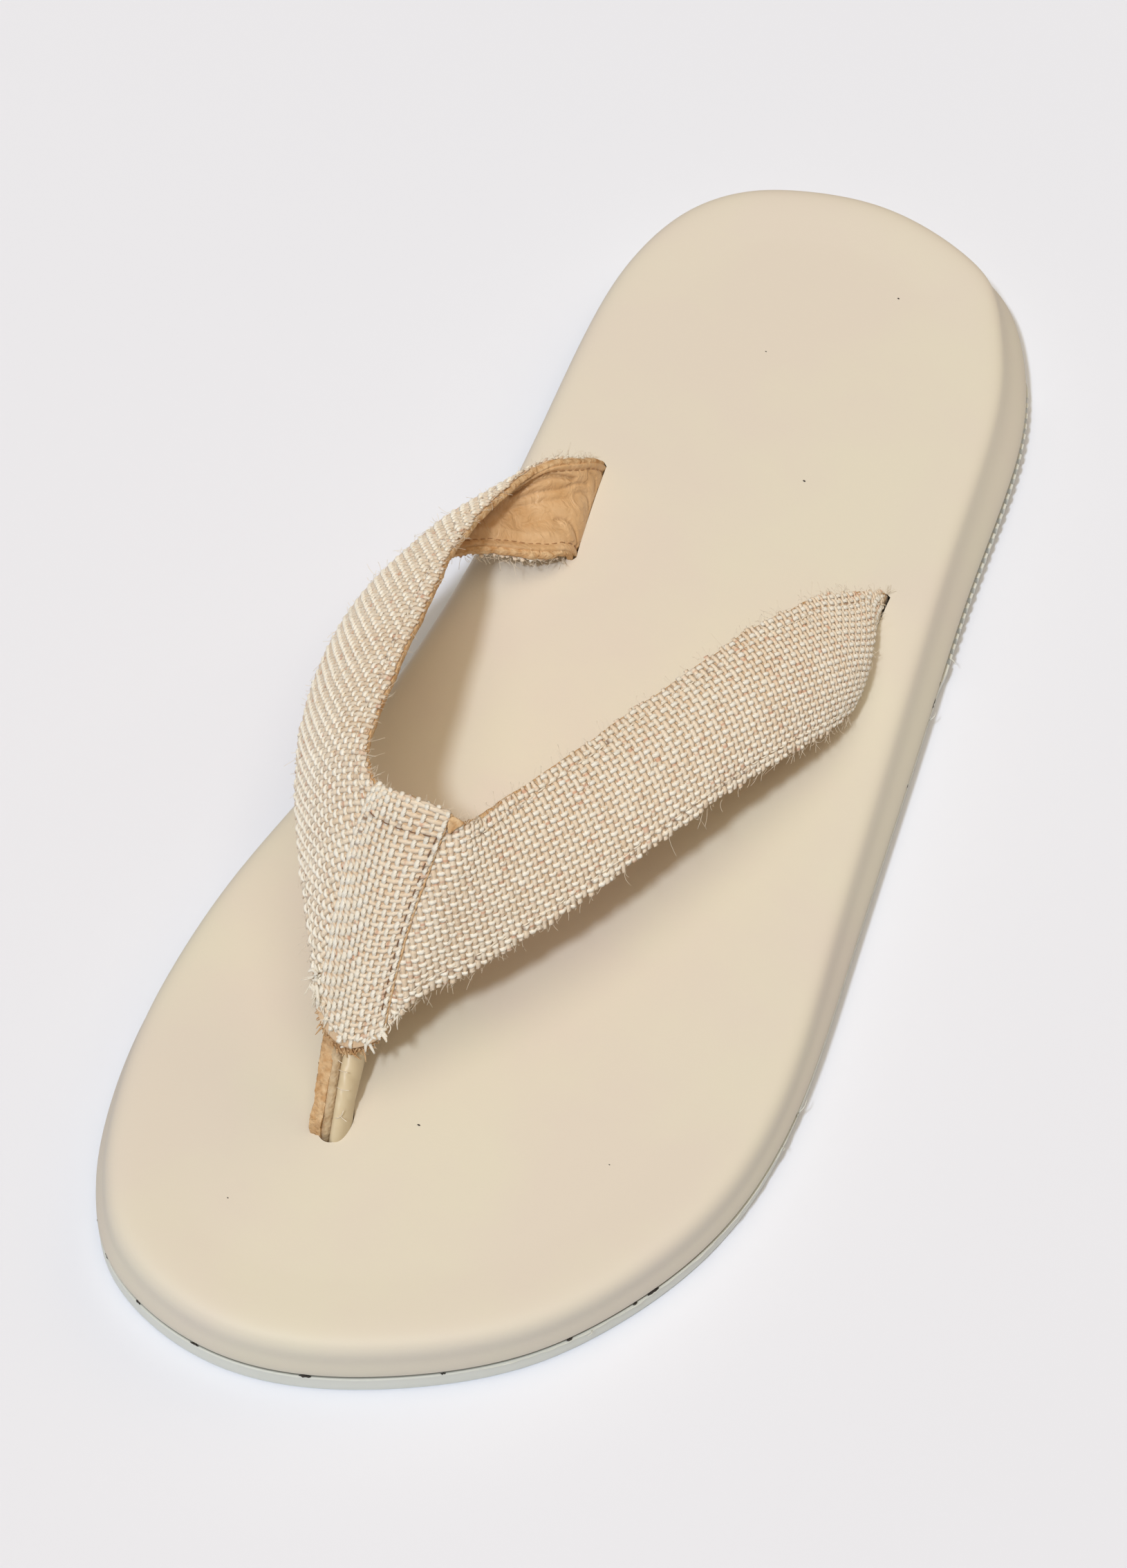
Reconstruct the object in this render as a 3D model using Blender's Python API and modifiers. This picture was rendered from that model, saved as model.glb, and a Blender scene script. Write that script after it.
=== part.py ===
# Left thong sandal with a woven strap on a moulded foam footbed.
# Frame: origin on the ground under the middle of the sole, +Y to the toe,
# +X to the big-toe side, +Z up. Tables are in millimetres, meshes in metres.

import math

import bmesh
import bpy
import numpy as np

MM = 0.001

# sole
OUTSOLE_THICKNESS = 5.0
SOLE_GAP = 0.3
OUTSOLE_EDGE_CHAMFER = 0.7
HEEL_HEIGHT_FACTOR = 1.06
TOE_HEIGHT_FACTOR = 0.94
OUTSOLE_TOP_ROUND = 0.1
SOLE_HALF_LENGTH = 142.5
OUTLINE_POINTS = 140
FIT_GAP = 0.35

# smooth curves: how their knots follow the spacing, and points of a fine loop
KNOT_POWER = 0.7
FINE_POINTS = 3000

# side ribs of the outsole, between the waist and the heel
RIB_PITCH = 2.5
RIB_NOTCH_WIDTH = 0.9
RIB_NOTCH_DEPTH = 0.9
RIB_SHOULDER = 0.2
RIB_FOOT_SHARE = 0.6
RIB_TOP = 4.2
PLAIN_STEP = 6.0
LATERAL_RIBS_Y = (-116.0, -49.0)
MEDIAL_RIBS_Y = (-111.0, -43.0)

# strap
STRAP_WIDTH = 26.0
STRAP_THICKNESS = 2.6
STRAP_EDGE_ROUND = 0.5
STRAP_ROWS = 80
STRAP_COLUMNS = 7
TAIL_BOTTOM = 8.0
NORMAL_STEP = 0.01

# slots in the footbed: stations that they reach below and above the strap's ends
SLOT_ROWS = 10
SLOT_BELOW = 1.05
SLOT_ABOVE = 0.6

# patch over the strap's front
PATCH_GAP = 0.4
PATCH_THICKNESS = 1.2
PATCH_EDGE_ROUND = 0.3
PATCH_OVERHANG = 0.01
PATCH_ROWS = 16

# toe post, a leather strip rolled into a tube that stays open at the front
POST_WALL = 1.5
POST_EDGE_ROUND = 0.35
POST_SEAM_AT = 82.0
POST_SEAM_WIDTH = 26.0
POST_ARC_STEPS = 12
POCKET_SIDES = 24
POST_PATH_STEPS = 12

# y, lateral x, medial x of the sole's edge, from the heel to the toe, and how far
# the footbed's rim lies inside the edge on the lateral and the medial side
OUTLINE = (
    (-139.0, -20.0, 17.5, 4.5, 3.5),
    (-134.0, -29.5, 27.5, 5.3, 3.2),
    (-125.0, -36.5, 36.0, 6.2, 2.7),
    (-111.0, -42.5, 41.5, 6.4, 2.2),
    (-95.0, -45.5, 43.8, 6.2, 2.3),
    (-66.0, -47.5, 43.5, 5.5, 2.5),
    (-36.0, -50.5, 43.2, 5.1, 2.6),
    (-6.0, -53.5, 45.0, 4.6, 2.7),
    (24.0, -56.5, 49.5, 4.1, 2.8),
    (54.0, -58.8, 56.0, 3.2, 2.8),
    (76.0, -57.0, 58.5, 2.7, 2.8),
    (94.0, -51.0, 58.5, 2.3, 3.0),
    (114.0, -38.3, 55.0, 1.9, 3.2),
    (124.0, -28.0, 51.0, 1.8, 3.1),
    (134.0, -12.0, 43.5, 1.8, 2.8),
)
# x and rim inset at the two ends of the sole
HEEL_TIP = (-0.5, 3.8)
TOE_TIP = (18.0, 2.1)

# wall and rim of the footbed: share of the rim's inset, inset added to it, and
# height above the footbed's underside
FOOTBED_WALL = (
    (0.0, 0.9, 0.0),
    (0.0, 0.0, 0.8),
    (0.5, -0.65, 5.3),
    (1.0, -1.3, 9.8),
    (1.0, -0.7, 10.9),
    (1.0, 0.2, 11.55),
    (1.0, 1.5, 11.9),
    (1.0, 3.2, 12.0),
    (1.0, 7.5, 11.85),
    (1.0, 12.5, 11.6),
)

# strap stations from the medial slot over the instep to the lateral slot:
# rear edge x, y, z, front edge x, y, z, outward bulge of the middle in x, z
STRAP_STATIONS = (
    (29.1, -57.8, 17.0, 26.1, -34.5, 17.0, 0.3, 0.0),
    (31.5, -52.0, 25.0, 26.9, -30.2, 21.0, 2.5, -1.5),
    (36.5, -44.5, 30.0, 34.0, -24.5, 25.0, 5.0, -2.5),
    (39.0, -30.5, 36.0, 41.5, -19.5, 28.0, 6.0, -0.5),
    (39.5, -16.0, 43.5, 48.5, -11.0, 31.0, 4.0, 1.0),
    (37.5, 0.0, 53.0, 53.0, 2.0, 36.0, 2.6, 2.2),
    (33.5, 29.5, 65.0, 50.5, 31.0, 46.5, 1.8, 3.0),
    (30.0, 51.5, 70.5, 42.0, 56.5, 50.0, 2.0, 3.0),
    (25.0, 58.5, 71.0, 30.0, 78.0, 44.0, 1.6, 2.4),
    (23.0, 58.5, 70.5, 24.5, 85.5, 37.0, 1.0, 2.2),
    (19.0, 58.0, 70.0, 18.0, 87.0, 31.0, 0.5, 2.0),
    (12.5, 57.5, 69.0, 10.5, 84.0, 36.5, -0.6, 2.4),
    (8.0, 56.5, 67.0, 7.5, 79.0, 39.5, -1.0, 2.6),
    (6.5, 53.0, 64.5, 2.5, 73.0, 41.0, -1.2, 2.8),
    (4.0, 43.5, 61.0, -4.0, 64.0, 42.0, -1.4, 3.0),
    (-7.0, 15.5, 55.0, -17.0, 40.5, 43.0, -1.6, 3.2),
    (-18.0, -11.0, 50.0, -30.0, 10.5, 39.0, -2.0, 3.2),
    (-24.0, -27.0, 42.0, -36.0, -4.5, 32.5, -2.6, 2.8),
    (-28.5, -39.5, 32.0, -39.0, -16.5, 25.5, -3.0, 1.8),
    (-33.0, -48.0, 23.0, -38.5, -23.5, 20.5, -2.0, 0.3),
    (-35.5, -52.0, 17.0, -36.5, -26.5, 17.0, 0.4, 0.0),
)
# stations that bound the patch, at its top edge, its middle and its lower end
PATCH_MEDIAL = (7.9, 8.75, 9.0)
PATCH_LATERAL = (11.2, 10.8, 10.8)

# centre line of the toe post from its pocket to the underside of the strap:
# x, y, z, half width, half depth
POST_PATH = (
    (16.0, 97.0, 8.0, 2.9, 4.3),
    (16.0, 96.8, 13.0, 2.9, 4.3),
    (16.4, 94.8, 17.8, 3.1, 4.2),
    (17.9, 89.3, 22.2, 3.6, 4.1),
    (19.2, 82.4, 26.5, 3.9, 3.9),
    (19.6, 77.6, 32.2, 4.0, 3.6),
)


def spline(knots, points, samples, closed=False):
    """Smooth curve through points at the knots, read at the samples."""
    knots = np.asarray(knots, float)
    points = np.asarray(points, float)
    count = len(points)
    spans = np.diff(knots)
    if closed:
        following = np.roll(points, -1, axis=0)
    else:
        following = points[1:]
    rise = (following - points[: len(spans)]) / spans[:, None]
    matrix = np.zeros((count, count))
    right = np.zeros_like(points)
    for i in range(count):
        if not closed and i in (0, count - 1):
            other = 1 if i == 0 else count - 2
            matrix[i, i] = 2.0
            matrix[i, other] = 1.0
            right[i] = 3.0 * rise[0 if i == 0 else -1]
            continue
        before = 1.0 / spans[i - 1]
        after = 1.0 / spans[i]
        matrix[i, (i - 1) % count] += before
        matrix[i, i] += 2.0 * (before + after)
        matrix[i, (i + 1) % count] += after
        right[i] = 3.0 * (rise[i - 1] * before + rise[i] * after)
    slopes = np.linalg.solve(matrix, right)
    samples = np.asarray(samples, float)
    index = np.clip(np.searchsorted(knots, samples, side="right") - 1, 0, len(spans) - 1)
    span = spans[index][:, None]
    part = ((samples - knots[index])[:, None]) / span
    start = points[index]
    end = points[(index + 1) % count]
    return (
        start * (1 + 2 * part) * (1 - part) ** 2
        + slopes[index] * span * part * (1 - part) ** 2
        + end * part**2 * (3 - 2 * part)
        + slopes[(index + 1) % count] * span * part**2 * (part - 1)
    )


def chord_knots(points, power, closed=False):
    """Knots spaced by the distance between points, raised to a power."""
    points = np.asarray(points, float)
    if closed:
        points = np.vstack([points, points[:1]])
    steps = np.linalg.norm(np.diff(points, axis=0), axis=1) ** power
    return np.concatenate([[0.0], np.cumsum(steps)])


def place_mesh(name, collection, bm, material=None):
    mesh = bpy.data.meshes.new(name)
    bm.to_mesh(mesh)
    bm.free()
    obj = bpy.data.objects.new(name, mesh)
    collection.objects.link(obj)
    if material:
        mesh.materials.append(material)
    return obj


def loft(rings):
    """Closed body through equal rings of points, capped at both ends."""
    bm = bmesh.new()
    verts = [[bm.verts.new([c * MM for c in point]) for point in ring] for ring in rings]
    for low, high in zip(verts[:-1], verts[1:]):
        for i in range(len(low)):
            j = (i + 1) % len(low)
            bm.faces.new((low[i], low[j], high[j], high[i]))
    bm.faces.new(verts[0])
    bm.faces.new(verts[-1])
    bmesh.ops.recalc_face_normals(bm, faces=bm.faces)
    return bm


def sheet(name, collection, rows, thickness, edge_round=0.0, material=None):
    """Open surface through rows of points, thickened away from its outer face."""
    bm = bmesh.new()
    verts = [[bm.verts.new([c * MM for c in point]) for point in row] for row in rows]
    for low, high in zip(verts[:-1], verts[1:]):
        for i in range(len(low) - 1):
            bm.faces.new((low[i], low[i + 1], high[i + 1], high[i]))
    obj = place_mesh(name, collection, bm, material)
    wall = obj.modifiers.new("wall", "SOLIDIFY")
    wall.thickness = thickness * MM
    wall.offset = -1.0
    wall.use_even_offset = True
    if edge_round > 0.0:
        bevel = obj.modifiers.new("round edges", "BEVEL")
        bevel.width = edge_round * MM
        bevel.segments = 2
        bevel.limit_method = "ANGLE"
        bevel.angle_limit = math.radians(60.0)
    return obj


def smooth_shading(obj, angle_deg):
    for polygon in obj.data.polygons:
        polygon.use_smooth = True
    obj.data.set_sharp_from_angle(angle=math.radians(angle_deg))


def surface_material(name, color, roughness, metallic=0.0):
    material = bpy.data.materials.new(name)
    material.use_nodes = True
    shader = material.node_tree.nodes["Principled BSDF"]
    shader.inputs["Base Color"].default_value = (*color, 1.0)
    shader.inputs["Roughness"].default_value = roughness
    shader.inputs["Metallic"].default_value = metallic
    return material


def carve(obj, cutter):
    """Cut one pocket and keep the result as the object's own mesh."""
    modifier = obj.modifiers.new("pocket", "BOOLEAN")
    modifier.operation = "DIFFERENCE"
    modifier.solver = "EXACT"
    modifier.object = cutter
    graph = bpy.context.evaluated_depsgraph_get()
    mesh = bpy.data.meshes.new_from_object(obj.evaluated_get(graph))
    obj.modifiers.clear()
    obj.data = mesh


def sole_loop(count):
    """Points of the sole's edge, each with its rim inset, and the ways inwards."""
    lateral = [(row[1], row[0], row[3]) for row in OUTLINE]
    medial = [(row[2], row[0], row[4]) for row in reversed(OUTLINE)]
    heel = [(HEEL_TIP[0], -SOLE_HALF_LENGTH, HEEL_TIP[1])]
    toe = [(TOE_TIP[0], SOLE_HALF_LENGTH, TOE_TIP[1])]
    points = np.array(heel + lateral + toe + medial)
    knots = chord_knots(points[:, :2], KNOT_POWER, closed=True)
    fine = spline(knots, points, np.linspace(0.0, knots[-1], FINE_POINTS), closed=True)
    length = chord_knots(fine[:, :2], 1.0)
    where = np.linspace(0.0, length[-1], count + 1)[:-1]
    return read_loop(fine, length, where)


def read_loop(fine, length, where):
    """Rows of a fine loop at given lengths along it, and its inward normals there."""
    total = length[-1]

    def at(distance):
        distance = np.mod(distance, total)
        return np.stack([np.interp(distance, length, column) for column in fine.T], axis=1)

    along = (at(where + 1.0) - at(where - 1.0))[:, :2]
    along /= np.linalg.norm(along, axis=1)[:, None]
    inward = np.stack([along[:, 1], -along[:, 0]], axis=1)
    return at(where), inward


def build_footbed(collection, material):
    edge, inward = sole_loop(OUTLINE_POINTS)
    rings = []
    middle = (HEEL_HEIGHT_FACTOR + TOE_HEIGHT_FACTOR) / 2
    slope = (TOE_HEIGHT_FACTOR - HEEL_HEIGHT_FACTOR) / (2 * SOLE_HALF_LENGTH)
    for share, more, height in FOOTBED_WALL:
        inset = share * edge[:, 2] + more
        ring = edge[:, :2] + inward * inset[:, None]
        factor = middle + slope * ring[:, 1]
        z = OUTSOLE_THICKNESS + SOLE_GAP + height * factor
        rings.append(np.column_stack([ring, z]))
    return place_mesh("footbed", collection, loft(rings), material)


def rib_ends(fine, length):
    """Lengths along the edge between which each side has its ribs."""
    toe = int(np.argmax(fine[:, 1]))
    lateral = [length[np.abs(fine[:toe, 1] - y).argmin()] for y in LATERAL_RIBS_Y]
    medial = [length[toe + np.abs(fine[toe:, 1] - y).argmin()] for y in MEDIAL_RIBS_Y]
    return lateral, medial


def rib_stops(fine, length):
    """Lengths along the edge and notch depth share, ribs on both sides."""
    lateral, medial = rib_ends(fine, length)
    total = length[-1]
    stops = []
    for start, end in ((lateral[0], lateral[1]), (medial[1], medial[0])):
        number = int(round((end - start) / RIB_PITCH))
        pitch = (end - start) / number
        for k in range(number):
            at = start + k * pitch
            notch = at + pitch - RIB_NOTCH_WIDTH
            stops.append((at, 0.0))
            stops.append((notch - RIB_SHOULDER, 0.0))
            stops.append((notch, 1.0))
            stops.append((at + pitch - RIB_SHOULDER, 1.0))
    for start, end in ((lateral[1], medial[1]), (medial[0], lateral[0] + total)):
        number = int(round((end - start) / PLAIN_STEP))
        for k in range(number):
            stops.append(((start + (end - start) * k / number) % total, 0.0))
    return np.array(sorted(set(stops)))


def build_outsole(collection, material):
    points, _ = sole_loop(FINE_POINTS)
    fine = np.vstack([points, points[:1]])
    length = chord_knots(fine[:, :2], 1.0)
    stops = rib_stops(fine, length)
    edge, inward = read_loop(fine, length, stops[:, 0])
    notch = stops[:, 1] * RIB_NOTCH_DEPTH
    # height, inset, share of the rib notch
    levels = (
        (0.0, OUTSOLE_EDGE_CHAMFER, RIB_FOOT_SHARE),
        (OUTSOLE_EDGE_CHAMFER, 0.0, 1.0),
        (RIB_TOP, 0.0, 1.0),
        (RIB_TOP + RIB_SHOULDER, 0.0, 0.0),
        (OUTSOLE_THICKNESS, OUTSOLE_TOP_ROUND, 0.0),
    )
    rings = []
    for z, inset, share in levels:
        ring = edge[:, :2] + inward * (inset + notch * share)[:, None]
        rings.append(np.column_stack([ring, np.full(len(ring), z)]))
    return place_mesh("outsole", collection, loft(rings), material)


def strap_knots():
    """Knots of the strap and its rear, middle and front points, tails included."""
    stations = np.array(STRAP_STATIONS)
    first = stations[0].copy()
    last = stations[-1].copy()
    for tail in (first, last):
        tail[[2, 5]] = TAIL_BOTTOM
        tail[6:] = 0.0
    stations = np.vstack([first, stations, last])
    rear = stations[:, 0:3]
    front = stations[:, 3:6]
    bulge = np.column_stack([stations[:, 6], np.zeros(len(stations)), stations[:, 7]])
    middle = (rear + front) / 2 + bulge
    return chord_knots(middle, KNOT_POWER), np.hstack([rear, middle, front])


def three_point(first, middle, last, share):
    """Parabola through values at 0, a half and 1."""
    ends = first * (share - 1) + last * share
    return 2 * (share - 0.5) * ends - 4 * middle * share * (share - 1)


def strap_surface(u, v):
    """Outer face of the strap. u counts stations, v runs rear to front edge."""
    knots, table = strap_knots()
    position = np.ravel(u) + 1.0
    index = np.clip(np.floor(position).astype(int), 0, len(knots) - 2)
    knot = knots[index] + (position - index) * (knots[index + 1] - knots[index])
    shape = spline(knots, table, knot)
    return three_point(shape[:, 0:3], shape[:, 3:6], shape[:, 6:9], np.ravel(v)[:, None])


def strap_face(u, v, lift):
    """Points lifted off the strap's outer face, positive is outwards."""
    along = strap_surface(u + NORMAL_STEP, v) - strap_surface(u - NORMAL_STEP, v)
    across = strap_surface(u, v + NORMAL_STEP) - strap_surface(u, v - NORMAL_STEP)
    normal = np.cross(across, along)
    normal /= np.linalg.norm(normal, axis=1)[:, None]
    return strap_surface(u, v) + normal * lift


def strap_rows(medial, lateral, count, lift, edge=0.0):
    """Rows of points over the strap, from a medial to a lateral limit."""
    v = np.linspace(-edge, 1 + edge, STRAP_COLUMNS)
    rows = []
    for share in np.linspace(0.0, 1.0, count + 1):
        u = three_point(*medial, v) * (1 - share) + three_point(*lateral, v) * share
        rows.append(strap_face(u, v, lift))
    return rows


def build_strap(collection, material):
    tail = float(len(STRAP_STATIONS))
    rows = strap_rows((-1.0,) * 3, (tail,) * 3, STRAP_ROWS, 0.0)
    return sheet("strap", collection, rows, STRAP_THICKNESS, STRAP_EDGE_ROUND, material)


def build_patch(collection, material):
    top = PATCH_GAP + PATCH_THICKNESS
    rows = strap_rows(PATCH_MEDIAL, PATCH_LATERAL, PATCH_ROWS, top, PATCH_OVERHANG)
    return sheet("strap_patch", collection, rows, PATCH_THICKNESS, PATCH_EDGE_ROUND, material)


def slot_cutter(name, collection, low, high):
    """The strap's own tail, larger by the fit all round."""
    rows = strap_rows((low,) * 3, (high,) * 3, SLOT_ROWS, FIT_GAP, FIT_GAP / STRAP_WIDTH)
    return sheet(name, collection, rows, STRAP_THICKNESS + 2 * FIT_GAP)


def post_rows(profile, grow=0.0):
    """Rows of points round the post from a profile on the unit circle."""
    path = np.array(POST_PATH)
    knots = chord_knots(path[:, :3], 1.0)
    table = spline(knots, path, np.linspace(0.0, knots[-1], POST_PATH_STEPS + 1))
    centre = table[:, :3]
    along = np.gradient(centre, axis=0)
    along /= np.linalg.norm(along, axis=1)[:, None]
    side = np.array([1.0, 0.0, 0.0]) - along * along[:, :1]
    side /= np.linalg.norm(side, axis=1)[:, None]
    front = np.cross(along, side)
    centre[0, 2] -= grow
    rows = []
    for k in range(len(centre)):
        wide = table[k, 3] + grow
        deep = table[k, 4] + grow
        rows.append([centre[k] + side[k] * wide * x + front[k] * deep * y for x, y in profile])
    return rows


def build_post(collection, material):
    first = math.radians(POST_SEAM_AT + POST_SEAM_WIDTH / 2)
    turn = math.radians(360.0 - POST_SEAM_WIDTH)
    arc = []
    for k in range(POST_ARC_STEPS + 1):
        angle = first + turn * k / POST_ARC_STEPS
        arc.append((math.cos(angle), math.sin(angle)))
    return sheet("toe_post", collection, post_rows(arc), POST_WALL, POST_EDGE_ROUND, material)


def post_cutter(name, collection):
    turn = 2 * math.pi / POCKET_SIDES
    circle = [(math.cos(turn * k), math.sin(turn * k)) for k in range(POCKET_SIDES)]
    return place_mesh(name, collection, loft(post_rows(circle, FIT_GAP)))


def main():
    for obj in list(bpy.data.objects):
        bpy.data.objects.remove(obj, do_unlink=True)
    parts = bpy.data.collections.new("thong_sandal")
    cutters = bpy.data.collections.new("cutters")
    bpy.context.scene.collection.children.link(parts)
    bpy.context.scene.collection.children.link(cutters)

    foam = surface_material("moulded_foam", (0.72, 0.65, 0.50), 0.75)
    rubber = surface_material("pale_rubber", (0.66, 0.66, 0.61), 0.65)
    cloth = surface_material("woven_cloth", (0.78, 0.66, 0.54), 0.9)
    leather = surface_material("tan_leather", (0.66, 0.45, 0.27), 0.6)

    footbed = build_footbed(parts, foam)
    outsole = build_outsole(parts, rubber)
    strap = build_strap(parts, cloth)
    patch = build_patch(parts, surface_material("patch_cloth", (0.80, 0.70, 0.58), 0.9))
    post = build_post(parts, leather)

    last = len(STRAP_STATIONS) - 1.0
    tools = (
        slot_cutter("medial_slot", cutters, -SLOT_BELOW, SLOT_ABOVE),
        slot_cutter("lateral_slot", cutters, last - SLOT_ABOVE, last + SLOT_BELOW),
        post_cutter("post_pocket", cutters),
    )
    for cutter in tools:
        cutter.hide_render = True
        cutter.display_type = "WIRE"
        carve(footbed, cutter)
    for obj, angle in ((footbed, 35), (outsole, 30), (strap, 40), (patch, 40), (post, 40)):
        smooth_shading(obj, angle)
    for obj in (footbed, outsole, strap, patch, post):
        print(obj.name, len(obj.data.polygons), "faces")


main()
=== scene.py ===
import math

import bmesh
import bpy
import numpy as np
from mathutils import Matrix, Vector


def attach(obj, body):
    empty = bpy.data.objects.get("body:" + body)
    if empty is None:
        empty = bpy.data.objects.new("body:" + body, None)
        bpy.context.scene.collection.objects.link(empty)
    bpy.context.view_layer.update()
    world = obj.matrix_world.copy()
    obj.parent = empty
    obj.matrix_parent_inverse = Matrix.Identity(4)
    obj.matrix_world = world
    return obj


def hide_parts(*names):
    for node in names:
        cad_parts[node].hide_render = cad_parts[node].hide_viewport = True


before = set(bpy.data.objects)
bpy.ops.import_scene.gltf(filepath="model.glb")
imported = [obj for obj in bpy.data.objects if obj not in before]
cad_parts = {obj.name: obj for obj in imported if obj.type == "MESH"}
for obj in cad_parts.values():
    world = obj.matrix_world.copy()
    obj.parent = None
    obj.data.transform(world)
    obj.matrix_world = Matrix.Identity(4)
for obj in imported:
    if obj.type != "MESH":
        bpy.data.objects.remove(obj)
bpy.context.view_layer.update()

# Left thong sandal with a woven strap. Tables are in millimetres, meshes in metres:
# +Y to the toe, +X to the big-toe side, +Z up, the ground at z = 0.
mm = 0.001


# small tools

def linear(hexColour):
    parts = [int(hexColour[k:k + 2], 16) / 255 for k in (1, 3, 5)]
    return [c / 12.92 if c <= 0.04045 else ((c + 0.055) / 1.055) ** 2.4 for c in parts] + [1]


def feed(node, inputs):
    # inputs by socket: a number, a hex colour or the socket of another node
    for socket, value in inputs.items():
        if isinstance(value, bpy.types.NodeSocket):
            node.id_data.links.new(value, node.inputs[socket])
        else:
            node.inputs[socket].default_value = linear(value) if isinstance(value, str) else value


def addNode(tree, kind, out, inputs, **settings):
    node = tree.nodes.new("ShaderNode" + kind)
    for name, value in settings.items():
        setattr(node, name, value)
    feed(node, inputs)
    return node.outputs[out]


def addObject(name, data):
    holder = bpy.data.objects.new(name, data)
    bpy.context.scene.collection.objects.link(holder)
    return holder


def newMesh(name, points, faces):
    mesh = bpy.data.meshes.new(name)
    mesh.from_pydata((np.asarray(points).reshape(-1, 3) * mm).tolist(), [], faces)
    return mesh


def fixNormals(piece):
    bm = bmesh.new()
    bm.from_mesh(piece.data)
    bmesh.ops.recalc_face_normals(bm, faces=bm.faces)
    bm.to_mesh(piece.data)
    bm.free()


def makePiece(name, points, faces, materials, slot, uv=None, slots=None, dirtAndShade=None, sharp=None, fixed=True):
    # uv gives lengths in millimetres, the darkening per point holds stains, a dark joint line and painted
    # shade, fixed turns the faces outwards
    mesh = newMesh(name, points, faces)
    for material in materials:
        mesh.materials.append(material)
    if uv is not None:
        corners = np.zeros(len(mesh.loops), int)
        mesh.loops.foreach_get("vertex_index", corners)
        mesh.uv_layers.new(name="lengths").data.foreach_set("uv", uv.reshape(-1, 2)[corners].ravel())
    if slots is not None:
        mesh.polygons.foreach_set("material_index", slots)
    if dirtAndShade is not None:
        mark = mesh.attributes.new("dirtAndShade", "FLOAT", "POINT")
        mark.data.foreach_set("value", np.asarray(dirtAndShade, np.float32).ravel())
    mesh.shade_smooth()
    if sharp:
        mesh.set_sharp_from_angle(angle=math.radians(sharp))
    piece = addObject(name, mesh)
    if fixed:
        fixNormals(piece)
    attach(piece, "root")
    return piece


def chordKnots(points, power=1, closed=False):
    points = np.asarray(points, float)
    if closed:
        points = np.vstack([points, points[:1]])
    return np.concatenate([[0], np.cumsum(np.linalg.norm(np.diff(points, axis=0), axis=1) ** power)])


def smoothCurve(knots, points, closed=False):
    # natural or closed cubic through the points, as a function of the knots
    points = np.asarray(points, float)
    count, spans = len(points), np.diff(knots)
    rise = (np.roll(points, -1, axis=0)[:len(spans)] - points[:len(spans)]) / spans[:, None]
    matrix, right = np.zeros((count, count)), np.zeros_like(points)
    for i in range(count):
        if closed or 0 < i < count - 1:
            before, after = 1 / spans[i - 1], 1 / spans[i]
            for k, value in ((i - 1, before), (i, 2 * (before + after)), (i + 1, after)):
                matrix[i, k % count] += value
            right[i] = 3 * (rise[i - 1] * before + rise[i] * after)
        else:
            matrix[i, i], matrix[i, i - 1 if i else 1] = 2, 1
            right[i] = 3 * rise[-1 if i else 0]
    slopes = np.linalg.solve(matrix, right)

    def at(samples):
        index = np.clip(np.searchsorted(knots, samples, side="right") - 1, 0, len(spans) - 1)
        span, after = spans[index][:, None], (index + 1) % count
        part = (samples - knots[index])[:, None] / span
        return (
            points[index] * (1 + 2 * part) * (1 - part) ** 2
            + slopes[index] * span * part * (1 - part) ** 2
            + points[after] * part**2 * (3 - 2 * part)
            + slopes[after] * span * part**2 * (part - 1)
        )

    return at


def evenCurve(points, knots, count, closed=False):
    # count points of the smooth curve, evenly spread over its knots
    return smoothCurve(knots, points, closed)(np.linspace(0, knots[-1], count))


def unit(vectors):
    return vectors / np.linalg.norm(vectors, axis=-1, keepdims=True)


def dot(first, second):
    return (first * second).sum(-1)


def ease(low, high, values):
    share = np.clip((values - low) / (high - low), 0, 1)
    return share * share * (3 - 2 * share)


def bell(values, width):
    return np.exp(-((values / width) ** 2))


def circle(sides):
    turn = 2 * np.pi * np.arange(sides) / sides
    return np.column_stack([np.cos(turn), np.sin(turn)])


def gridFaces(rows, columns, wrap=False):
    # quads between rows of points, each row closed on itself if wrap is set
    r, c = np.arange(rows - 1)[:, None] * columns, np.arange(columns if wrap else columns - 1)
    after = (c + 1) % columns
    return np.stack([r + c, r + after, r + columns + after, r + columns + c], -1).reshape(-1, 4).tolist()


def shellFaces(rows, columns):
    # two grids of points, one under the other, closed round their rim
    number, total = np.arange(rows * columns).reshape(rows, columns), rows * columns
    rim = np.concatenate([number[0], number[1:, -1], number[-1, -2::-1], number[-2:0:-1, 0]])
    after, grid = np.roll(rim, -1), np.array(gridFaces(rows, columns))
    sides = np.stack([rim, after, after + total, rim + total], 1)
    return np.concatenate([grid, grid[:, ::-1] + total, sides]).tolist()


def loftFaces(rows, columns):
    # closed body through equal rings
    ring = list(range(columns))
    return gridFaces(rows, columns, True) + [ring[::-1], [k + columns * (rows - 1) for k in ring]]


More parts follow.
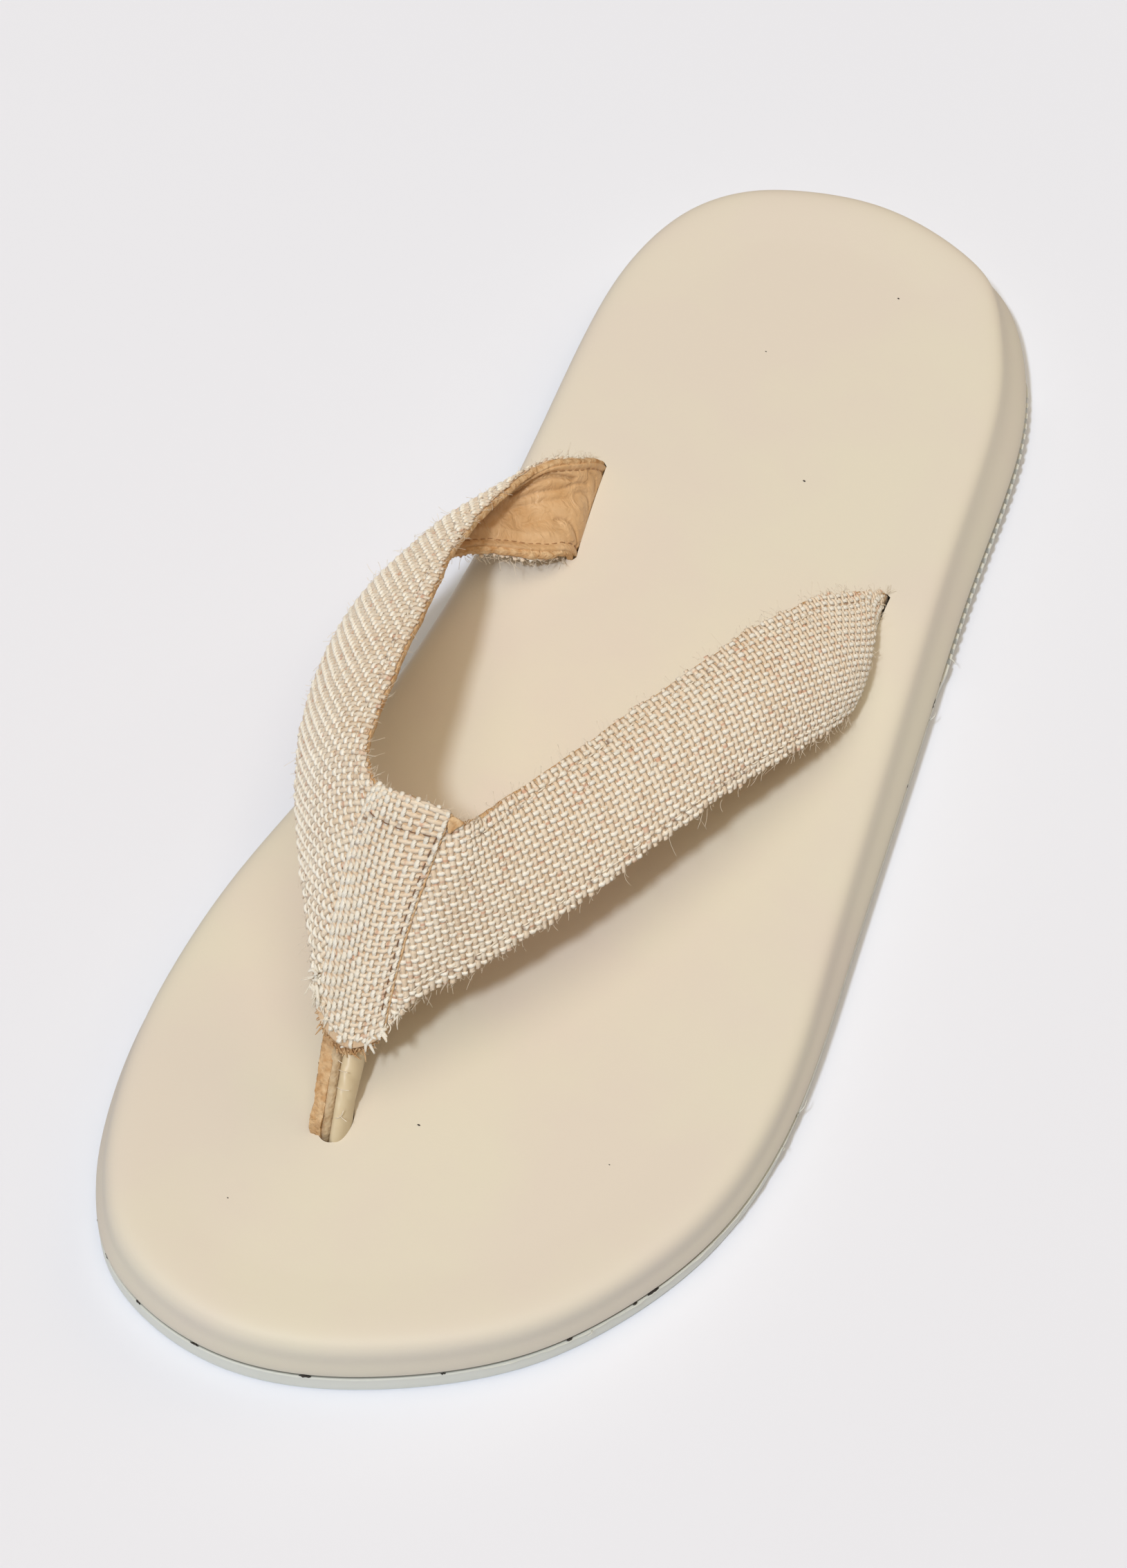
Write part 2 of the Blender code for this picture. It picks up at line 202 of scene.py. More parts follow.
def tubes(centres, sideways, upwards, halfWide, halfHigh, sides=5, keep=None):
    # closed tubes along rows of centres; sideways and upwards span each section,
    # keep says which centres are there
    shape = centres.shape[:2]
    keep = np.ones(shape, bool) if keep is None else keep.copy()
    keep[:, 1:-1] &= keep[:, :-2] | keep[:, 2:]
    keep[:, 0] &= keep[:, 1]
    keep[:, -1] &= keep[:, -2]
    turn = np.pi / 2 + 2 * np.pi * np.arange(sides) / sides
    wide = (np.broadcast_to(halfWide, shape)[..., None] * np.cos(turn))[..., None]
    high = (np.broadcast_to(halfHigh, shape)[..., None] * np.sin(turn))[..., None]
    points = centres[:, :, None] + sideways[:, :, None] * wide + upwards[:, :, None] * high
    number = np.full(shape, -1)
    number[keep] = np.arange(keep.sum()) * sides
    pairs = keep[:, :-1] & keep[:, 1:]
    a, b = number[:, :-1][pairs][:, None], number[:, 1:][pairs][:, None]
    k, edge = np.arange(sides), np.zeros((shape[0], 1), bool)
    quads = np.stack([a + k, a + (k + 1) % sides, b + (k + 1) % sides, b + k], -1)
    first = number[keep & ~np.hstack([edge, keep[:, :-1]])][:, None] + k
    last = number[keep & ~np.hstack([keep[:, 1:], edge])][:, None] + k
    ahead = centres[:, 1:] - centres[:, :-1]
    if (np.cross(sideways[:, :-1], upwards[:, :-1]) * ahead)[pairs].sum() < 0:
        quads, first, last = quads[..., ::-1], first[:, ::-1], last[:, ::-1]
    faces = quads.reshape(-1, 4).tolist() + first[:, ::-1].tolist() + last.tolist()
    return points[keep].reshape(-1, 3), faces, keep


def threadTubes(lines, radius, sides=4):
    # round tubes along rows of points, for threads and fibres
    ahead = unit(np.gradient(lines, axis=1))
    guide = np.where(np.abs(ahead[..., 2:]) > 0.9, [[[1, 0, 0]]], [[[0, 0, 1]]])
    side = unit(np.cross(ahead, guide))
    return tubes(lines, side, np.cross(ahead, side), radius, radius, sides)[:2]


def gather(parts):
    # several sets of points and faces as one
    points, faces, start = [], [], 0
    for some, sides in parts:
        points.append(np.asarray(some).reshape(-1, 3))
        faces += [[k + start for k in side] for side in sides]
        start += len(points[-1])
    return np.concatenate(points), faces


def wander(rng, rows, along, waves):
    # slow random drift from about -1 to 1, its own for each row
    total = np.zeros((rows, len(along)))
    for wave in waves:
        phase = rng.uniform(0, 2 * np.pi, (rows, 1))
        total += np.sin(2 * np.pi * along[None] / (wave * rng.uniform(0.75, 1.3, (rows, 1))) + phase)
    return total / len(waves)


# materials

def newMaterial(name, inputs):
    # the material, and the place on the piece that its patterns start from
    material = bpy.data.materials.new(name)
    material.use_nodes = True
    feed(material.node_tree.nodes["Principled BSDF"], inputs)
    return material, addNode(material.node_tree, "TexCoord", "Object", {})


def noise(place, scale, detail=2, **more):
    inputs = {"Vector": place, "Scale": scale, "Detail": detail, **more}
    return addNode(place.id_data, "TexNoise", "Fac", inputs)


def spread(value, low, high, top=1):
    return addNode(value.id_data, "MapRange", 0, {0: value, 1: low, 2: high, 4: top})


def figure(operation, first, *others):
    return addNode(first.id_data, "Math", 0, dict(enumerate((first, *others))), operation=operation)


def blend(share, first, second):
    return addNode(share.id_data, "Mix", 2, {0: share, 6: first, 7: second}, data_type="RGBA")


def darkenWithDirtAndShade(tone, dirtAndShadeColour):
    # darker where the piece's darkening attribute says so: stains on the toe post, a dark line at the sole's
    # joint, and painted shade in the foam's wall, the outsole's notches, the needle holes and the lining
    return blend(addNode(tone.id_data, "Attribute", "Fac", {}, attribute_name="dirtAndShade"), tone, dirtAndShadeColour)


def finish(material, tone, height, strength, distance, **more):
    bump = {"Height": height, "Strength": strength, "Distance": distance, **more}
    shader = material.node_tree.nodes["Principled BSDF"]
    feed(shader, {"Base Color": tone, "Normal": addNode(tone.id_data, "Bump", 0, bump)})
    return material


def studioCard():
    # matt white studio card: an even pale ground with hardly any drift in it
    material, place = newMaterial("studio_card", {"Roughness": 0.9})
    tone = blend(noise(place, 2, 1), "#EDF1FA", "#EAEFF8")
    feed(material.node_tree.nodes["Principled BSDF"], {"Base Color": tone})
    return material


def mouldedEva():
    # moulded EVA foam: a dull dry skin, softly clouded, with a fine even grain
    material, place = newMaterial("moulded_eva_foam", {"Roughness": 0.6, "IOR": 1.45})
    cloud = spread(noise(place, 30, 4), 0.38, 0.62)
    # dark olive for painted shade down the foam's wall, and for a dark line at its joint with the outsole
    tone = darkenWithDirtAndShade(blend(cloud, "#E2DCC9", "#E1D8C9"), "#4C4A36")
    height = figure("MULTIPLY_ADD", noise(place, 1900), 0.35, noise(place, 90))
    return finish(material, tone, height, 0.25, 0.0002)


def paleRubber():
    # moulded outsole rubber: pale and slightly green, satin, with painted shade inside its notches and a dark
    # line at the joint
    material, place = newMaterial("pale_outsole_rubber", {"Roughness": 0.5, "IOR": 1.52})
    tone = darkenWithDirtAndShade(blend(noise(place, 60, 3), "#E4E6DE", "#D9DBD0"), "#55523E")
    return finish(material, tone, noise(place, 1300), 0.3, 0.0001)


def spunYarn(name, light, dark, flecks, fleckFrom, twist):
    # loosely spun plant-fibre yarn: dry, slubby, with the twist of its plies showing
    dry = {"Roughness": 0.88, "IOR": 1.5, "Sheen Weight": 0.3, "Sheen Roughness": 0.5}
    material, _ = newMaterial(name, dry)
    tree = material.node_tree
    uv = addNode(tree, "TexCoord", "UV", {})
    along, across = (addNode(tree, "SeparateXYZ", axis, {0: uv}) for axis in "XY")
    row = figure("FLOOR", figure("MULTIPLY", across, 0.1))
    own = addNode(tree, "TexWhiteNoise", "Value", {"W": row}, noise_dimensions="1D")
    # thick and thin places about 5 mm long, its own for each yarn
    place = addNode(tree, "CombineXYZ", 0, {0: along, 1: figure("MULTIPLY", row, 13.7)})
    slub = figure("MULTIPLY_ADD", own, 0.35, noise(place, 0.4, 3, Roughness=0.65))
    tone = blend(spread(slub, 0.4, 0.95), light, dark)
    # single crowns of another dye, 1 to 2 mm long, and fibres of it
    tone = blend(spread(noise(place, 0.85, 1), fleckFrom, fleckFrom + 0.1, 0.8), tone, flecks)
    fibre = noise(addNode(tree, "Mapping", 0, {"Vector": uv, "Scale": (1.1, 7, 1)}), 1, 3)
    tone = blend(spread(fibre, 0.55, 0.75, 0.35), tone, flecks)
    # plies turn once in about 1.3 mm
    lean = addNode(tree, "VectorMath", "Value", {0: uv, 1: (1, twist, 0)}, operation="DOT_PRODUCT")
    plies = {"Vector": addNode(tree, "CombineXYZ", 0, {0: lean}), "Scale": 0.5, "Distortion": 0.6}
    height = figure("ADD", addNode(tree, "TexWave", "Fac", plies), fibre)
    # brown painted shade inside the needle holes
    return finish(material, darkenWithDirtAndShade(tone, "#8C6A4C"), height, 0.5, 8e-5)


def leather(name, light, dark, grainScale, grainDepth, roughness, cloudScale=150, wrinkle=0):
    # vegetable-tanned leather: warm and uneven, smooth on the grain side, fibrous where cut
    material, place = newMaterial(name, {"Roughness": roughness, "IOR": 1.5})
    # dark brown: stains on the post's cut leather, and painted shade in the lining's creases and towards its
    # bend
    tone = darkenWithDirtAndShade(blend(spread(noise(place, cloudScale, 4), 0.3, 0.7), light, dark), "#7D5633")
    grain = {"Vector": place, "Scale": grainScale}
    pores = addNode(place.id_data, "TexVoronoi", "Distance", grain, feature="SMOOTH_F1")
    height = figure("ADD", pores, noise(place, grainScale * 1.7, 3))
    folds = {"Height": noise(place, 330, Distortion=1.6), "Strength": 1, "Distance": wrinkle}
    base = addNode(place.id_data, "Bump", 0, folds)
    return finish(material, tone, height, 0.6, grainDepth, Normal=base)


def sewingThread(name, light, dark):
    # spun polyester sewing thread: tight twist with a slight shine
    material, place = newMaterial(name, {"Roughness": 0.55, "IOR": 1.5, "Sheen Weight": 0.1})
    twist = noise(place, 2500, 1)
    return finish(material, blend(twist, light, dark), twist, 0.4, 4e-5)


foam = mouldedEva()
rubber = paleRubber()
creamYarn = spunYarn("undyed_cotton_yarn", "#FDFAEE", "#F8F0DD", "#EAD4B4", 0.64, 1.2)
roseYarn = spunYarn("tan_jute_yarn", "#F6EAD5", "#ECD6B8", "#D9A685", 0.61, -1.2)
groundCloth = spunYarn("cloth_ground", "#E2C9A8", "#D3B592", "#BC946F", 0.6, 1)
rawLeather = leather("cut_leather_edge", "#E6C79B", "#C59763", 1500, 0.0003, 0.85, 650, 0.0006)
lining = leather("nappa_lining", "#E4C093", "#D3A874", 1100, 0.00005, 0.42, 170, 0.0005)
postSkin = leather("finished_post_leather", "#E0D0AE", "#D8C6A2", 900, 0.00001, 0.42)
fleshLeather = leather("flesh_side_leather", "#D8C5A4", "#BFA37B", 1300, 0.0002, 0.85, 600, 0.0004)
brownThread = sewingThread("brown_thread", "#8A6444", "#6A4A30")
tanThread = sewingThread("tan_thread", "#B98E62", "#9A6F44")
creamThread = sewingThread("cream_thread", "#F4EBDA", "#E6D8BF")
darkCrumb = leather("dark_rubber_crumb", "#3A332B", "#211D19", 900, 0.0001, 0.7)
print("materials made")


# camera, floor and light

camera = dict(
    at=(-181.8, 545.3, 934.5),
    up=(0.3456, -0.7749, 0.5292),
    aim=(6.9, 10, 12),
    lens=131,
)


def placeCamera():
    eye = Vector(camera["at"]) * mm
    back = (eye - Vector(camera["aim"]) * mm).normalized()
    right = Vector(camera["up"]).cross(back).normalized()
    data = bpy.data.cameras.new("camera")
    data.lens, data.clip_start, data.clip_end = camera["lens"], 0.05, 20
    holder = addObject("camera", data)
    turn = Matrix((right, back.cross(right), back)).transposed().to_4x4()
    holder.matrix_world = Matrix.Translation(eye) @ turn
    bpy.context.scene.camera = holder


studio = dict(
    # name, way it travels, strength, width in degrees, colour
    lights=(
        ("key", (-0.053, -0.492, -0.869), 1.62, 4.5, "#E9F2FF"),
        ("top", (0, -0.16, -1), 1.12, 45, "#FFEFD8"),
        ("fill", (0.4, 0.62, -0.68), 0.4, 38, "#FFE6C4"),
    ),
    skyColour="#FFEEDA",
    sky=0.19,
    floorHalf=3000,
)


def placeStudio():
    scene, half = bpy.context.scene, studio["floorHalf"]
    for name, travel, strength, width, colour in studio["lights"]:
        sun = bpy.data.lights.new(name, "SUN")
        sun.energy, sun.angle, sun.color = strength, math.radians(width), linear(colour)[:3]
        holder = addObject(name, sun)
        holder.rotation_mode = "QUATERNION"
        holder.rotation_quaternion = Vector(travel).to_track_quat("-Z", "Y")
    scene.world = scene.world or bpy.data.worlds.new("studio")
    scene.world.use_nodes = True
    glow = scene.world.node_tree.nodes["Background"]
    glow.inputs["Color"].default_value = linear(studio["skyColour"])
    glow.inputs["Strength"].default_value = studio["sky"]
    scene.view_settings.view_transform = "Standard"
    corners = ((-half, -half, 0), (half, -half, 0), (half, half, 0), (-half, half, 0))
    floor = addObject("floor", newMesh("floor", corners, [(0, 1, 2, 3)]))
    floor.data.materials.append(studioCard())


placeCamera()
placeStudio()
print("camera and studio placed")


# sole

sole = dict(
    outsoleHigh=5, gap=0.3, heelFactor=1.06, toeFactor=0.94, halfLong=142.5,
    knotPower=0.7, finePoints=4000,
    # x and rim inset at the two ends
    heelTip=(-0.5, 3.8), toeTip=(18, 2.1),
    # y, lateral x, medial x of the edge, and the rim's inset on both sides
    outline=(
        (-139, -20, 17.5, 4.5, 3.5), (-134, -29.5, 27.5, 5.3, 3.2), (-125, -36.5, 36, 6.2, 2.7),
        (-111, -42.5, 41.5, 6.4, 2.2), (-95, -45.5, 43.8, 6.2, 2.3), (-66, -47.5, 43.5, 5.5, 2.5),
        (-36, -50.5, 43.2, 5.1, 2.6), (-6, -53.5, 45, 4.6, 2.7), (24, -56.5, 49.5, 4.1, 2.8),
        (54, -58.8, 56, 3.2, 2.8), (76, -57, 58.5, 2.7, 2.8), (94, -51, 58.5, 2.3, 3),
        (114, -38.3, 55, 1.9, 3.2), (124, -28, 51, 1.8, 3.1), (134, -12, 43.5, 1.8, 2.8),
    ),
)
outlineRows = np.array(sole["outline"])


def soleEdge():
    heel, toe, half = sole["heelTip"], sole["toeTip"], sole["halfLong"]
    points = np.concatenate([
        [(heel[0], -half, heel[1])], outlineRows[:, [1, 0, 3]],
        [(toe[0], half, toe[1])], outlineRows[::-1, [2, 0, 4]],
    ])
    knots = chordKnots(points[:, :2], sole["knotPower"], closed=True)
    fine = evenCurve(points, knots, sole["finePoints"], closed=True)
    return fine, chordKnots(fine[:, :2])


edgeLine, edgeLength = soleEdge()
edgeTotal = edgeLength[-1]
toeIndex = int(np.argmax(edgeLine[:, 1]))


def edgeAt(where):
    # points of the sole's edge with their rim insets at lengths round it, and the ways inwards
    def place(distance):
        distance = np.mod(distance, edgeTotal)
        return np.stack([np.interp(distance, edgeLength, column) for column in edgeLine.T], 1)

    along = unit((place(where + 1) - place(where - 1))[:, :2])
    return place(where), np.stack([along[:, 1], -along[:, 0]], 1)


def edgeRing(edge, inward, inset, height):
    plan = edge[:, :2] + inward * np.reshape(inset, (-1, 1))
    return np.column_stack([plan, np.broadcast_to(height, len(edge))])


def lengthAt(y, medial):
    # length round the edge where one side passes y
    start, end = (toeIndex, None) if medial else (0, toeIndex)
    return edgeLength[int(np.abs(edgeLine[start:end, 1] - y).argmin()) + start]


def footbedHeight(y, height):
    # the foam is thicker at the heel than at the toe
    low, high = sole["heelFactor"], sole["toeFactor"]
    factor = (low + high) / 2 + (high - low) * y / (2 * sole["halfLong"])
    return sole["outsoleHigh"] + sole["gap"] + height * factor


footbed = dict(
    around=480, wallSteps=40, topRings=14, spineHalf=84, knotInset=3.5, wallShade=0.1, sharp=35,
    # share of the rim's inset, inset added to it, height over the underside
    wall=(
        (0, 0.7, 0), (0, 0, 0.8), (0.5, -0.65, 5.3), (1, -1.3, 9.8), (1, -0.7, 10.9),
        (1, 0.2, 11.55), (1, 1.5, 11.9), (1, 3.2, 12), (1, 7.5, 11.85), (1, 12.5, 11.6),
    ),
)


def footbedSkin():
    around, wall = footbed["around"], np.array(footbed["wall"])
    edge, inward = edgeAt(np.linspace(0, edgeTotal, around + 1)[:-1])
    knots = chordKnots(np.column_stack([wall[:, 0] * footbed["knotInset"] + wall[:, 1], wall[:, 2]]))
    rings, dirtAndShade = [], []
    for share, more, height in evenCurve(wall, knots, footbed["wallSteps"]):
        height = max(height, 0)
        ring = edgeRing(edge, inward, share * edge[:, 2] + more, 0)
        ring[:, 2] = footbedHeight(ring[:, 1], height)
        rings.append(ring)
        # a dark line at the wall's foot, then painted shade that fades out up the wall
        dirtAndShade.append(max(1 - height / 0.75, footbed["wallShade"] * (1 - ease(1.5, 11.4, height))))
    last = rings[-1]
    spineY = np.clip(last[:, 1], -footbed["spineHalf"], footbed["spineHalf"])
    spineX = np.interp(spineY, outlineRows[:, 0], outlineRows[:, 1:3].mean(axis=1))
    spine = np.column_stack([spineX, spineY])
    for share in np.linspace(0, 0.985, footbed["topRings"] + 1)[1:]:
        ring = last[:, :2] * (1 - share) + spine * share
        rings.append(np.column_stack([ring, footbedHeight(ring[:, 1], wall[-1, 2])]))
        dirtAndShade.append(0)
    return np.concatenate(rings), loftFaces(len(rings), around), np.repeat(dirtAndShade, around)


outsole = dict(
    ribPitch=2.5, notchWide=0.95, notchDeep=1.35, notchSlope=0.2, plainStep=1.2, ribOut=0.6,
    lateralRibs=(-116, -49), medialRibs=(-111, -43),
    # height, inset, share of the notch, share of the rib's own reach, darkness of the joint line
    levels=(
        (0, 0.9, 0, 0, 0), (0.12, 0.45, 0.4, 0, 0), (0.4, 0.15, 0.8, 0.2, 0), (0.9, 0, 1, 0.6, 0),
        (2.2, 0, 1, 1, 0), (4.2, 0, 1, 1, 0), (4.5, -0.05, 1, 1, 0), (4.72, -0.18, 1, 0.95, 0),
        (4.9, -0.12, 1, 0.8, 0), (5, 0.06, 0.9, 0.5, 0.1), (5.02, 0.3, 0.6, 0.2, 0.8),
        (5.02, 0.8, 0.3, 0, 1), (5, 6, 0, 0, 1),
    ),
)


def outsoleSkin():
    ribs = [lengthAt(y, False) for y in outsole["lateralRibs"]]
    ribs += [lengthAt(y, True) for y in reversed(outsole["medialRibs"])]
    half, slope = outsole["notchWide"] / 2, outsole["notchSlope"]
    flank = (slope, 0), (0, 0.5), (-slope, 1)
    notch = [(side * (half + more), depth) for side in (-1, 1) for more, depth in flank]
    # length round the edge, depth of the notch, share of the ribs' own reach
    stops = []
    for start, end in (ribs[:2], ribs[2:]):
        number = int(round((end - start) / outsole["ribPitch"]))
        for middle in start + (np.arange(number) + 0.5) * (end - start) / number:
            stops += [(middle + offset, depth, 1) for offset, depth in notch]
    for start, end in ((ribs[1] + 0.6, ribs[2] - 0.6), (ribs[3] + 0.6, ribs[0] + edgeTotal - 0.6)):
        for stop in np.linspace(start, end, int((end - start) / outsole["plainStep"])):
            stops.append((stop % edgeTotal, 0, 1 - ease(0, 5, min(stop - start, end - stop))))
    where, depth, reach = np.array(sorted(stops)).T
    edge, inward = edgeAt(where)
    rings, marks = [], []
    for z, inset, share, out, dirtAndShade in outsole["levels"]:
        inset = inset + depth * share * outsole["notchDeep"] - reach * out * outsole["ribOut"]
        rings.append(edgeRing(edge, inward, inset, z))
        # painted shade inside the notches, plus the dark joint line
        marks.append(np.clip(depth * share * 1.4 - 0.4, 0, 0.85) + dirtAndShade * 0.9)
    return np.concatenate(rings), loftFaces(len(rings), len(where)), np.concatenate(marks)


def cutFrom(piece, cutters):
    for points, faces in cutters:
        cutter = addObject("cutter", newMesh("cutter", points, faces))
        fixNormals(cutter)
        modifier = piece.modifiers.new("pocket", "BOOLEAN")
        modifier.operation, modifier.solver, modifier.object = "DIFFERENCE", "EXACT", cutter
        mesh = bpy.data.meshes.new_from_object(piece.evaluated_get(bpy.context.evaluated_depsgraph_get()))
        piece.modifiers.clear()
        piece.data = mesh
        bpy.data.objects.remove(cutter, do_unlink=True)


joint = dict(
    height=5.25,
    # crumbs caught in the joint: x, y, length, thickness
    crumbs=(
        (49.7, 126.9, 2.6, 0.45), (45.3, 132.5, 1.6, 0.35), (23.1, 141.1, 1.8, 0.35),
        (2.7, 139.4, 2.2, 0.5), (-38.3, 114.1, 1.2, 0.5), (-46.9, 98.3, 2.6, 0.6),
        (-44.6, 101.6, 1, 0.4), (-49.3, -44.5, 1.3, 0.35), (-50.1, -39.7, 3, 0.5),
        (-51.2, -20.4, 1, 0.4), (-20, 129.5, 1, 0.3), (36, 138.3, 1.2, 0.3),
    ),
    crumbShape=(0.3, 0.8, 1, 0.9, 1.1, 0.7, 0.3),
    # specks on the footbed's top: x, y, size
    specks=(
        (-11.4, -118.9, 0.26), (-10.3, -70.2, 0.3), (-40.6, -39.8, 0.28), (-52.6, 56.1, 0.32),
        (1.9, 90.5, 0.3), (27.5, 118, 0.2), (-33, 84, 0.18), (8, -96, 0.18),
    ),
    # bright parting flash on the lateral front: y where it starts and ends, thickness
    flash=(54, 126, 0.17),
    # whiskers of rubber: start y, and offsets outwards, along and up of their ends
    whiskers=(
        (54.2, 0.9, -2.4, 1.6), (54.8, -1.6, -2, 2.2), (-51, 1.8, 1.2, 0.4), (-36, 0.9, -1.8, 0.6),
        (62, 0.8, 1, 0.7), (110.5, 1, 1.4, 0.5),
    ),
)


def lump(rng, centre, size):
    # small rough grain
    rings = []
    for tilt in np.linspace(-1.2, 1.2, 4):
        ring = np.column_stack([circle(7) * math.cos(tilt), np.full(7, math.sin(tilt))])
        rings.append(ring * rng.uniform(0.7, 1.2, (7, 1)) * size + centre)
    return np.concatenate(rings), loftFaces(4, 7)


def jointDetails():
    rng = np.random.default_rng(5)
    parts = []
    for x, y, long, thick in joint["crumbs"]:
        near = np.linalg.norm(edgeLine[:, :2] - (x, y), axis=1).argmin()
        edge, inward = edgeAt(edgeLength[near] + np.linspace(-long / 2, long / 2, 7))
        inset, lift = 0.02 + rng.uniform(-0.08, 0.08, 7), rng.uniform(-0.12, 0.15, 7)
        line = edgeRing(edge, inward, inset, joint["height"] + lift)
        sizes = thick / 2 * np.array(joint["crumbShape"]) * rng.uniform(0.8, 1.2, 7)
        parts.append(threadTubes(line[None], sizes[None], 6))
    for x, y, size in joint["specks"]:
        top = footbedHeight(y, footbed["wall"][-1][2])
        parts.append(lump(rng, np.array([x, y, top + size * 0.1]), size * np.array([1, 0.7, 0.3])))
    makePiece("joint_crumbs", *gather(parts), [darkCrumb], "footbed")

    start, end, thick = joint["flash"]
    where = np.linspace(lengthAt(start, False), lengthAt(end, False), 160)
    drift = wander(rng, 2, where, (7, 17, 3.1))
    line = edgeRing(*edgeAt(where), -(0.28 + 0.1 * drift[0]), 5.05 + 0.1 * drift[1])
    parts = [threadTubes(line[None], thick * (0.8 + 0.4 * drift[:1]), 5)]
    share = np.linspace(0, 1, 9)
    for y, out, along, up in joint["whiskers"]:
        outwards = 0.25 + out * share + 0.25 * np.sin(share * np.pi * 1.3)
        height = 5.1 + up * share + 0.2 * np.sin(share * 4)
        line = edgeRing(*edgeAt(lengthAt(y, False) + along * share), -outwards, height)
        parts.append(threadTubes(line[None], 0.11 * (1.1 - 0.7 * share)[None], 5))
    makePiece("parting_flash", *gather(parts), [rubber], "outsole")


# strap

strap = dict(
    thick=2.6, tailLow=8, knotPower=0.7, fit=0.14, tipAt=9.9, tipReach=0.055,
    # rear edge x, y, z, front edge x, y, z, outward bulge of the middle in x and z
    stations=(
        (29.1, -57.8, 17, 26.1, -34.5, 17, 0.3, 0), (31.5, -52, 25, 26.9, -30.2, 21, 2.5, -1.5),
        (36.5, -44.5, 30, 34, -24.5, 25, 5, -2.5), (39, -30.5, 36, 41.5, -19.5, 28, 6, -0.5),
        (39.5, -16, 43.5, 48.5, -11, 31, 4, 1), (37.5, 0, 53, 53, 2, 36, 2.6, 2.2),
        (33.5, 29.5, 65, 50.5, 31, 46.5, 1.8, 3), (30, 51.5, 70.5, 42, 56.5, 50, 2, 3),
        (25, 58.5, 71, 30, 78, 44, 1.6, 2.4), (23, 58.5, 70.5, 24.5, 85.5, 37, 1, 2.2),
        (19, 58, 70, 18, 87, 31, 0.5, 2), (12.5, 57.5, 69, 10.5, 84, 36.5, -0.6, 2.4),
        (8, 56.5, 67, 7.5, 79, 39.5, -1, 2.6), (6.5, 53, 64.5, 2.5, 73, 41, -1.2, 2.8),
        (4, 43.5, 61, -4, 64, 42, -1.4, 3), (-7, 15.5, 55, -17, 40.5, 43, -1.6, 3.2),
        (-18, -11, 50, -30, 10.5, 39, -2, 3.2), (-24, -27, 42, -36, -4.5, 32.5, -2.6, 2.8),
        (-28.5, -39.5, 32, -39, -16.5, 25.5, -3, 1.8), (-33, -48, 23, -38.5, -23.5, 20.5, -2, 0.3),
        (-35.5, -52, 17, -36.5, -26.5, 17, 0.4, 0),
    ),
)


def strapCurve():
    stations = np.array(strap["stations"])
    tails = stations[[0, -1]]
    tails[:, [2, 5]], tails[:, 6:] = strap["tailLow"], 0
    stations = np.vstack([tails[:1], stations, tails[1:]])
    rear, front = stations[:, :3], stations[:, 3:6]
    middle = (rear + front) / 2
    middle[:, [0, 2]] += stations[:, 6:]
    knots = chordKnots(middle, strap["knotPower"])
    return knots, smoothCurve(knots, np.hstack([rear, middle, front]))


strapKnots, strapShape = strapCurve()
lastStation = len(strap["stations"]) - 1


def threePoint(first, middle, last, share):
    ends = first * (share - 1) + last * share
    return 2 * (share - 0.5) * ends - 4 * middle * share * (share - 1)


def strapPoint(u, v):
    # outer face of the strap: u counts stations, v runs from the rear to the front edge
    u, v = np.broadcast_arrays(np.asarray(u, float), np.asarray(v, float))
    place = u.ravel() + 1
    index = np.clip(np.floor(place).astype(int), 0, len(strapKnots) - 2)
    shape = strapShape(strapKnots[index] + (place - index) * (strapKnots[index + 1] - strapKnots[index]))
    return threePoint(shape[:, 0:3], shape[:, 3:6], shape[:, 6:9], v.ravel()[:, None]).reshape(*u.shape, 3)


def strapSlopes(u, v, step=0.01):
    along = (strapPoint(u + step, v) - strapPoint(u - step, v)) / (2 * step)
    return along, (strapPoint(u, v + step) - strapPoint(u, v - step)) / (2 * step)


def strapFrame(u, v, lift=0):
    # points lifted off the face, and their unit directions along, across and outwards
    along, across = strapSlopes(u, v)
    outwards = unit(np.cross(across, along))
    return strapPoint(u, v) + outwards * np.asarray(lift)[..., None], unit(along), unit(across), outwards


def strapLengths(first, last, v, count):
    # stations and the lengths that go with them along one line of the strap
    fine = np.linspace(first, last, count)
    return fine, chordKnots(strapPoint(fine, v))


def edgeDrift(u, v):
    # raw edges of the strap waver by a few tenths of a millimetre
    rear = np.sin(u * 5.1 + 0.4) + 0.7 * np.sin(u * 11.3 + 2) + 0.4 * np.sin(u * 23)
    front = np.sin(u * 4.3 + 1.9) + 0.7 * np.sin(u * 12.7 + 0.6) + 0.4 * np.sin(u * 21 + 1)
    reach = np.where(v < 0.5, -rear * (0.5 - v), front * (v - 0.5))
    tip = strap["tipReach"] * bell(u - strap["tipAt"], 0.8)
    return v + 0.011 * reach + tip * np.clip(2 * v - 1, 0, None)


def widthShare(u, v):
    # where v lies between the two wavering edges
    rear, front = edgeDrift(u, 0), edgeDrift(u, 1)
    return (v - rear) / (front - rear)


weave = dict(
    pitch=1.31, perYarn=4, depth=0.45,
    # half width, half height and swing of the yarns
    warp=(0.41, 0.27, 0.28), weft=(0.52, 0.21, 0.12),
    holeWide=0.38, holeDeep=0.42, holePitch=2.6, seamInset=2.7,
    # unevenness in thickness, place and height: slow reach, its wave lengths, quick reach
    uneven=((0.17, (5, 11, 23), 0.1), (0.08, (9, 31), 0.03), (0.04, (4, 7), 0.03)),
)

